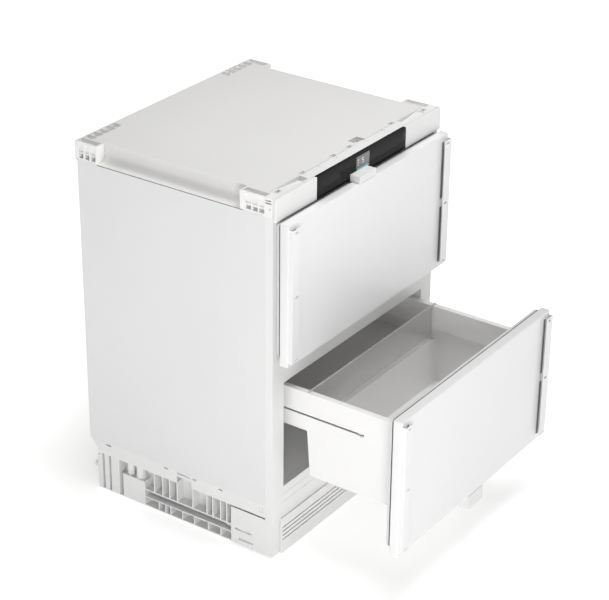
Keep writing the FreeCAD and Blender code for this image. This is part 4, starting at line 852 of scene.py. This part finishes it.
def buildFan(look):
    (left, front, low), (right, back, high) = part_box("fan_wheel")
    x, z = (left + right) / 2, (low + high) / 2
    outer, hub, deep = look["bladeTip"], look["hub"], back - front
    share, across = np.meshgrid(np.linspace(0, 1, 12), np.linspace(-1, 1, 9), indexing="ij")
    radius = hub * 0.92 + share * (outer - hub * 0.92)
    # blade: angle grows with the radius and across the chord, depth falls across the chord with the twist
    wide = (0.36 + 0.10 * share) * np.sqrt(np.clip(1 - (np.maximum(share - 0.78, 0) / 0.24) ** 2, 0.1, 1))
    depth = (front + back) / 2 + deep * 0.40 * across * (1 - 0.45 * share) * look["twist"]
    blades = []
    for index in range(look["blades"]):
        angle = 2 * math.pi * index / look["blades"] + 0.35 * share + across * wide
        blades.append(surface(np.stack([x + radius * np.cos(angle), depth, z + radius * np.sin(angle)],
                                       axis=-1)))
    addPiece("fanBlades", blades, "circulation_fan", "white_plastic", ("fan_wheel",), 60,
             solid=look["bladeWall"])
    profile = [(0.0, back - 0.0004), (0.013, back - 0.0004), (hub, back - 0.0016), (hub, front + 0.003),
               (hub * 0.86, front + 0.0010),
               (hub * 0.55, front + 0.0004), (0.0, front + 0.0002)]
    addPiece("fanHub", [surface(turnedSurface(profile, (x, 0, z), "y"), closeColumns=True)],
             "circulation_fan", "white_plastic", (), 40)


buildCompressor(cooling)
buildFan(cooling)
print("compressor and fan built")

inside = {
    "boxSeam": 0.0007, "boxRound": 0.0040, "coverRibs": 9,
    "lensRibs": 60, "channelRows": 7, "channelHeight": 0.0012,
    "pinLength": 0.0085, "clipLength": 0.013,
    "clipBack": 0.115, "clipDown": 0.0545,
          "clipProud": 0.0005,   # behind the drawer's front, below its rim, off its side
    # size and place of the grey sheets of painted shade behind the strips
    "shadowWidth": 0.0072, "shadowInset": 0.0195, "shadowEnd": 0.004, "shadowGap": 0.020,
}


def buildControlBox(look):
    # a box whose outline swells and draws in with its depth: cover, seam, body; ribs stand on the cover
    box = (left, front, low), (right, back, high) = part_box("control_box")
    deep, round_, seam = back - front, look["boxRound"], look["boxSeam"]
    body = roundOver(seam, 0.0009, round_, 6) + [(seam, 0.016), (seam * 3, 0.0165), (seam * 3, 0.0175),
                                                 (0.0, 0.0180)]
    body += roundOver(0.0, deep, 0.0015, 4, True)
    rings = plateRings(box, body, 0.006, 0.4)
    parts = [closed(rings)]
    height = np.linspace(low + 0.016, high - 0.016, look["coverRibs"])
    for z in height:
        outline = roundedLoop(left + 0.016, right - 0.016, z - 0.0012, z + 0.0012, 0.0011, 4)
        parts.append(slab(outline, (front + 0.0012, front + 0.0002)))
    addPiece("controlBoxShell", parts, "cabinet", "black_rubber", ("control_box",), 35)


def buildLightLens(look):
    # half round section whose depth ripples along the bar, closed flat against the liner
    (left, front, low), (right, back, high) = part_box("light_bar")
    x = np.linspace(left, right, look["lensRibs"] * 6)[:, None]
    turn = np.linspace(0, math.pi, 13)[None, :]
    ripple = 1 - 0.10 * (0.5 + 0.5 * np.cos((x - left) / (right - left) * 2 * math.pi * look["lensRibs"]))
    taper = np.clip(np.minimum(x - left, right - x) / 0.004, 0.0, 1.0) ** 0.5
    y = (front + back) / 2 + (back - front) / 2 * np.cos(turn) + 0 * x
    z = high - (high - low) * np.sin(turn) * ripple * np.clip(taper, 0.15, 1)
    addPiece("lightLens", [closed(np.stack([x + 0 * turn, y, z], axis=-1))],
             "cabinet", "light_lens", ("light_bar",), 50)


def buildEvaporator(look):
    # front face of the plate stands out in a ridge wherever a wave of the height peaks: the coolant channels
    (left, front, low), (right, back, high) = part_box("evaporator")
    x, z = np.meshgrid(np.linspace(left, right, 60), np.linspace(low, high, 121), indexing="ij")
    inner = np.clip(np.minimum(x - left, right - x) / 0.02, 0, 1)
    wave = np.cos((z - low) / (high - low) * 2 * math.pi * look["channelRows"])
    ridge = look["channelHeight"] * np.clip(wave - 0.35, 0, 1) / 0.65 * inner
    face = front + look["channelHeight"] - ridge
    edge = roundedLoop(left, right, low, high, 0.003, 4)
    plate = slab(edge, (front + look["channelHeight"] + 0.0001, back))
    parts = [surface(np.stack([x, face, z], axis=-1)), plate]
    addPiece("evaporatorPlate", parts, "cabinet", "aluminium_plate", ("evaporator",), 60)


def buildInletPins(look):
    (left, front, low), (right, back, high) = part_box("mains_inlet")
    x, z = (left + right) / 2, (low + high) / 2
    parts = []
    for dx, dz in ((-0.007, -0.002), (0.007, -0.002), (0.0, 0.003)):
        outline = roundedLoop(x + dx - 0.001, x + dx + 0.001, z + dz - 0.0022, z + dz + 0.0022, 0.0008, 3)
        centre = outline.mean(axis=0)
        rows = [ringAt(centre + (outline - centre) * s, back - 0.0125 + d)
                for s, d in ((1.0, 0.0), (1.0, look["pinLength"] - 0.001), (0.6, look["pinLength"]))]
        parts.append(closed(rows))
    addPiece("inletPins", parts, "cabinet", "slide_steel", (), 40)


def buildClips(word, look):
    # small snap marks on both sides of a drawer box, ahead of the slide's slot
    (left, front, low), (right, back, high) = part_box(word + "_drawer_box")
    parts = []
    for side, wall in ((-1, left), (1, right)):
        for step, (lift, length) in enumerate(((0.0, 1.0), (0.0035, 0.7), (-0.0030, 0.55))):
            y, z = front + look["clipBack"] - 0.004 * step, high - look["clipDown"] + lift
            outline = roundedLoop(y - look["clipLength"] * length, y, z - 0.0007, z + 0.0007, 0.0006, 3)
            rows = [np.column_stack([np.full(len(outline), wall + side * d), outline[:, 0],
                                     outline[:, 1]]) for d in (-0.0002, look["clipProud"])]
            parts.append(closed(rows))
    addPiece(word + "BoxClips", parts, word + "_drawer", "slide_steel", (), 40)


def buildStripShadow(word, look):
    # dark grey sheet in each strip's open side, on the drawer front, in two lengths: painted shade standing in
    # for the shade inside the strips
    (left, front, low), (right, back, high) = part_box(word + "_furniture_strips")
    middle, parts = (low + high) / 2, []
    half, gap = look["shadowWidth"] / 2, look["shadowGap"] / 2
    for side in (-1, 1):
        for bottom, top in ((low + look["shadowEnd"], middle - gap), (middle + gap, high - look["shadowEnd"])):
            x = side * (right - look["shadowInset"])
            outline = roundedLoop(x - half, x + half, bottom, top, 0.0010, 3)
            parts.append(slab(outline, (back - 0.0008, back - 0.0001)))
    addPiece(word + "StripShadow", parts, word + "_drawer", "black_rubber", (), 40, materials["greyShadow"])


for word in ("upper", "lower"):
    buildStripShadow(word, inside)
buildControlBox(inside)
buildLightLens(inside)
buildEvaporator(inside)
buildInletPins(inside)
for word in ("upper", "lower"):
    buildClips(word, inside)
print("inside details built")

kept = 0
for name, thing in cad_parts.items():
    for slot in thing.material_slots:
        if slot.material and slot.material.name.split(".")[0] in slotMaterials:
            slot.material = slotMaterials[slot.material.name.split(".")[0]]
            kept += 1
print("carried-over slots given finishes:", kept)


def buildFloor():
    # a flat sheet just below the floor plane
    reach, drop = room["floorReach"], room["floorDrop"]
    s = np.linspace(0, 1, 40)[:, None]
    x = np.linspace(-reach, reach, 3)[None, :]
    y = -reach + 2 * reach * s + 0 * x
    points = np.stack([x + 0 * s, y, -drop + 0 * y], axis=-1)
    points, faces = surface(points)
    mesh = bpy.data.meshes.new("studioFloor")
    mesh.from_pydata(points.tolist(), [], faces)
    floor = bpy.data.objects.new("studioFloor", mesh)
    bpy.context.scene.collection.objects.link(floor)
    material, tree, shader, where = newMaterial("paleFloor")
    tone = (*room["floorColour"], 1)
    node = placeGroup(tree, where, "tone", Tone=tone, Second_Tone=tone, Scale=2.0, Smooth=0.8, Dull=0.95)
    tree.links.new(node.outputs["Color"], shader.inputs["Base Color"])
    tree.links.new(node.outputs["Roughness"], shader.inputs["Roughness"])
    shader.inputs["Specular IOR Level"].default_value = 0.1
    shader.inputs["Emission Color"].default_value = (1, 1, 1, 1)
    # the floor glows more the farther it lies from the object, so that it stays pale to its edges
    distance = tree.nodes.new("ShaderNodeVectorMath")
    distance.operation = "LENGTH"
    tree.links.new(where, distance.inputs[0])
    near, far, low, high = room["floorGlow"]
    glow = tree.nodes.new("ShaderNodeMapRange")
    for label, value in (("From Min", near), ("From Max", far), ("To Min", low), ("To Max", high)):
        glow.inputs[label].default_value = value
    tree.links.new(distance.outputs["Value"], glow.inputs["Value"])
    tree.links.new(glow.outputs["Result"], shader.inputs["Emission Strength"])
    mesh.materials.append(material)


buildFloor()
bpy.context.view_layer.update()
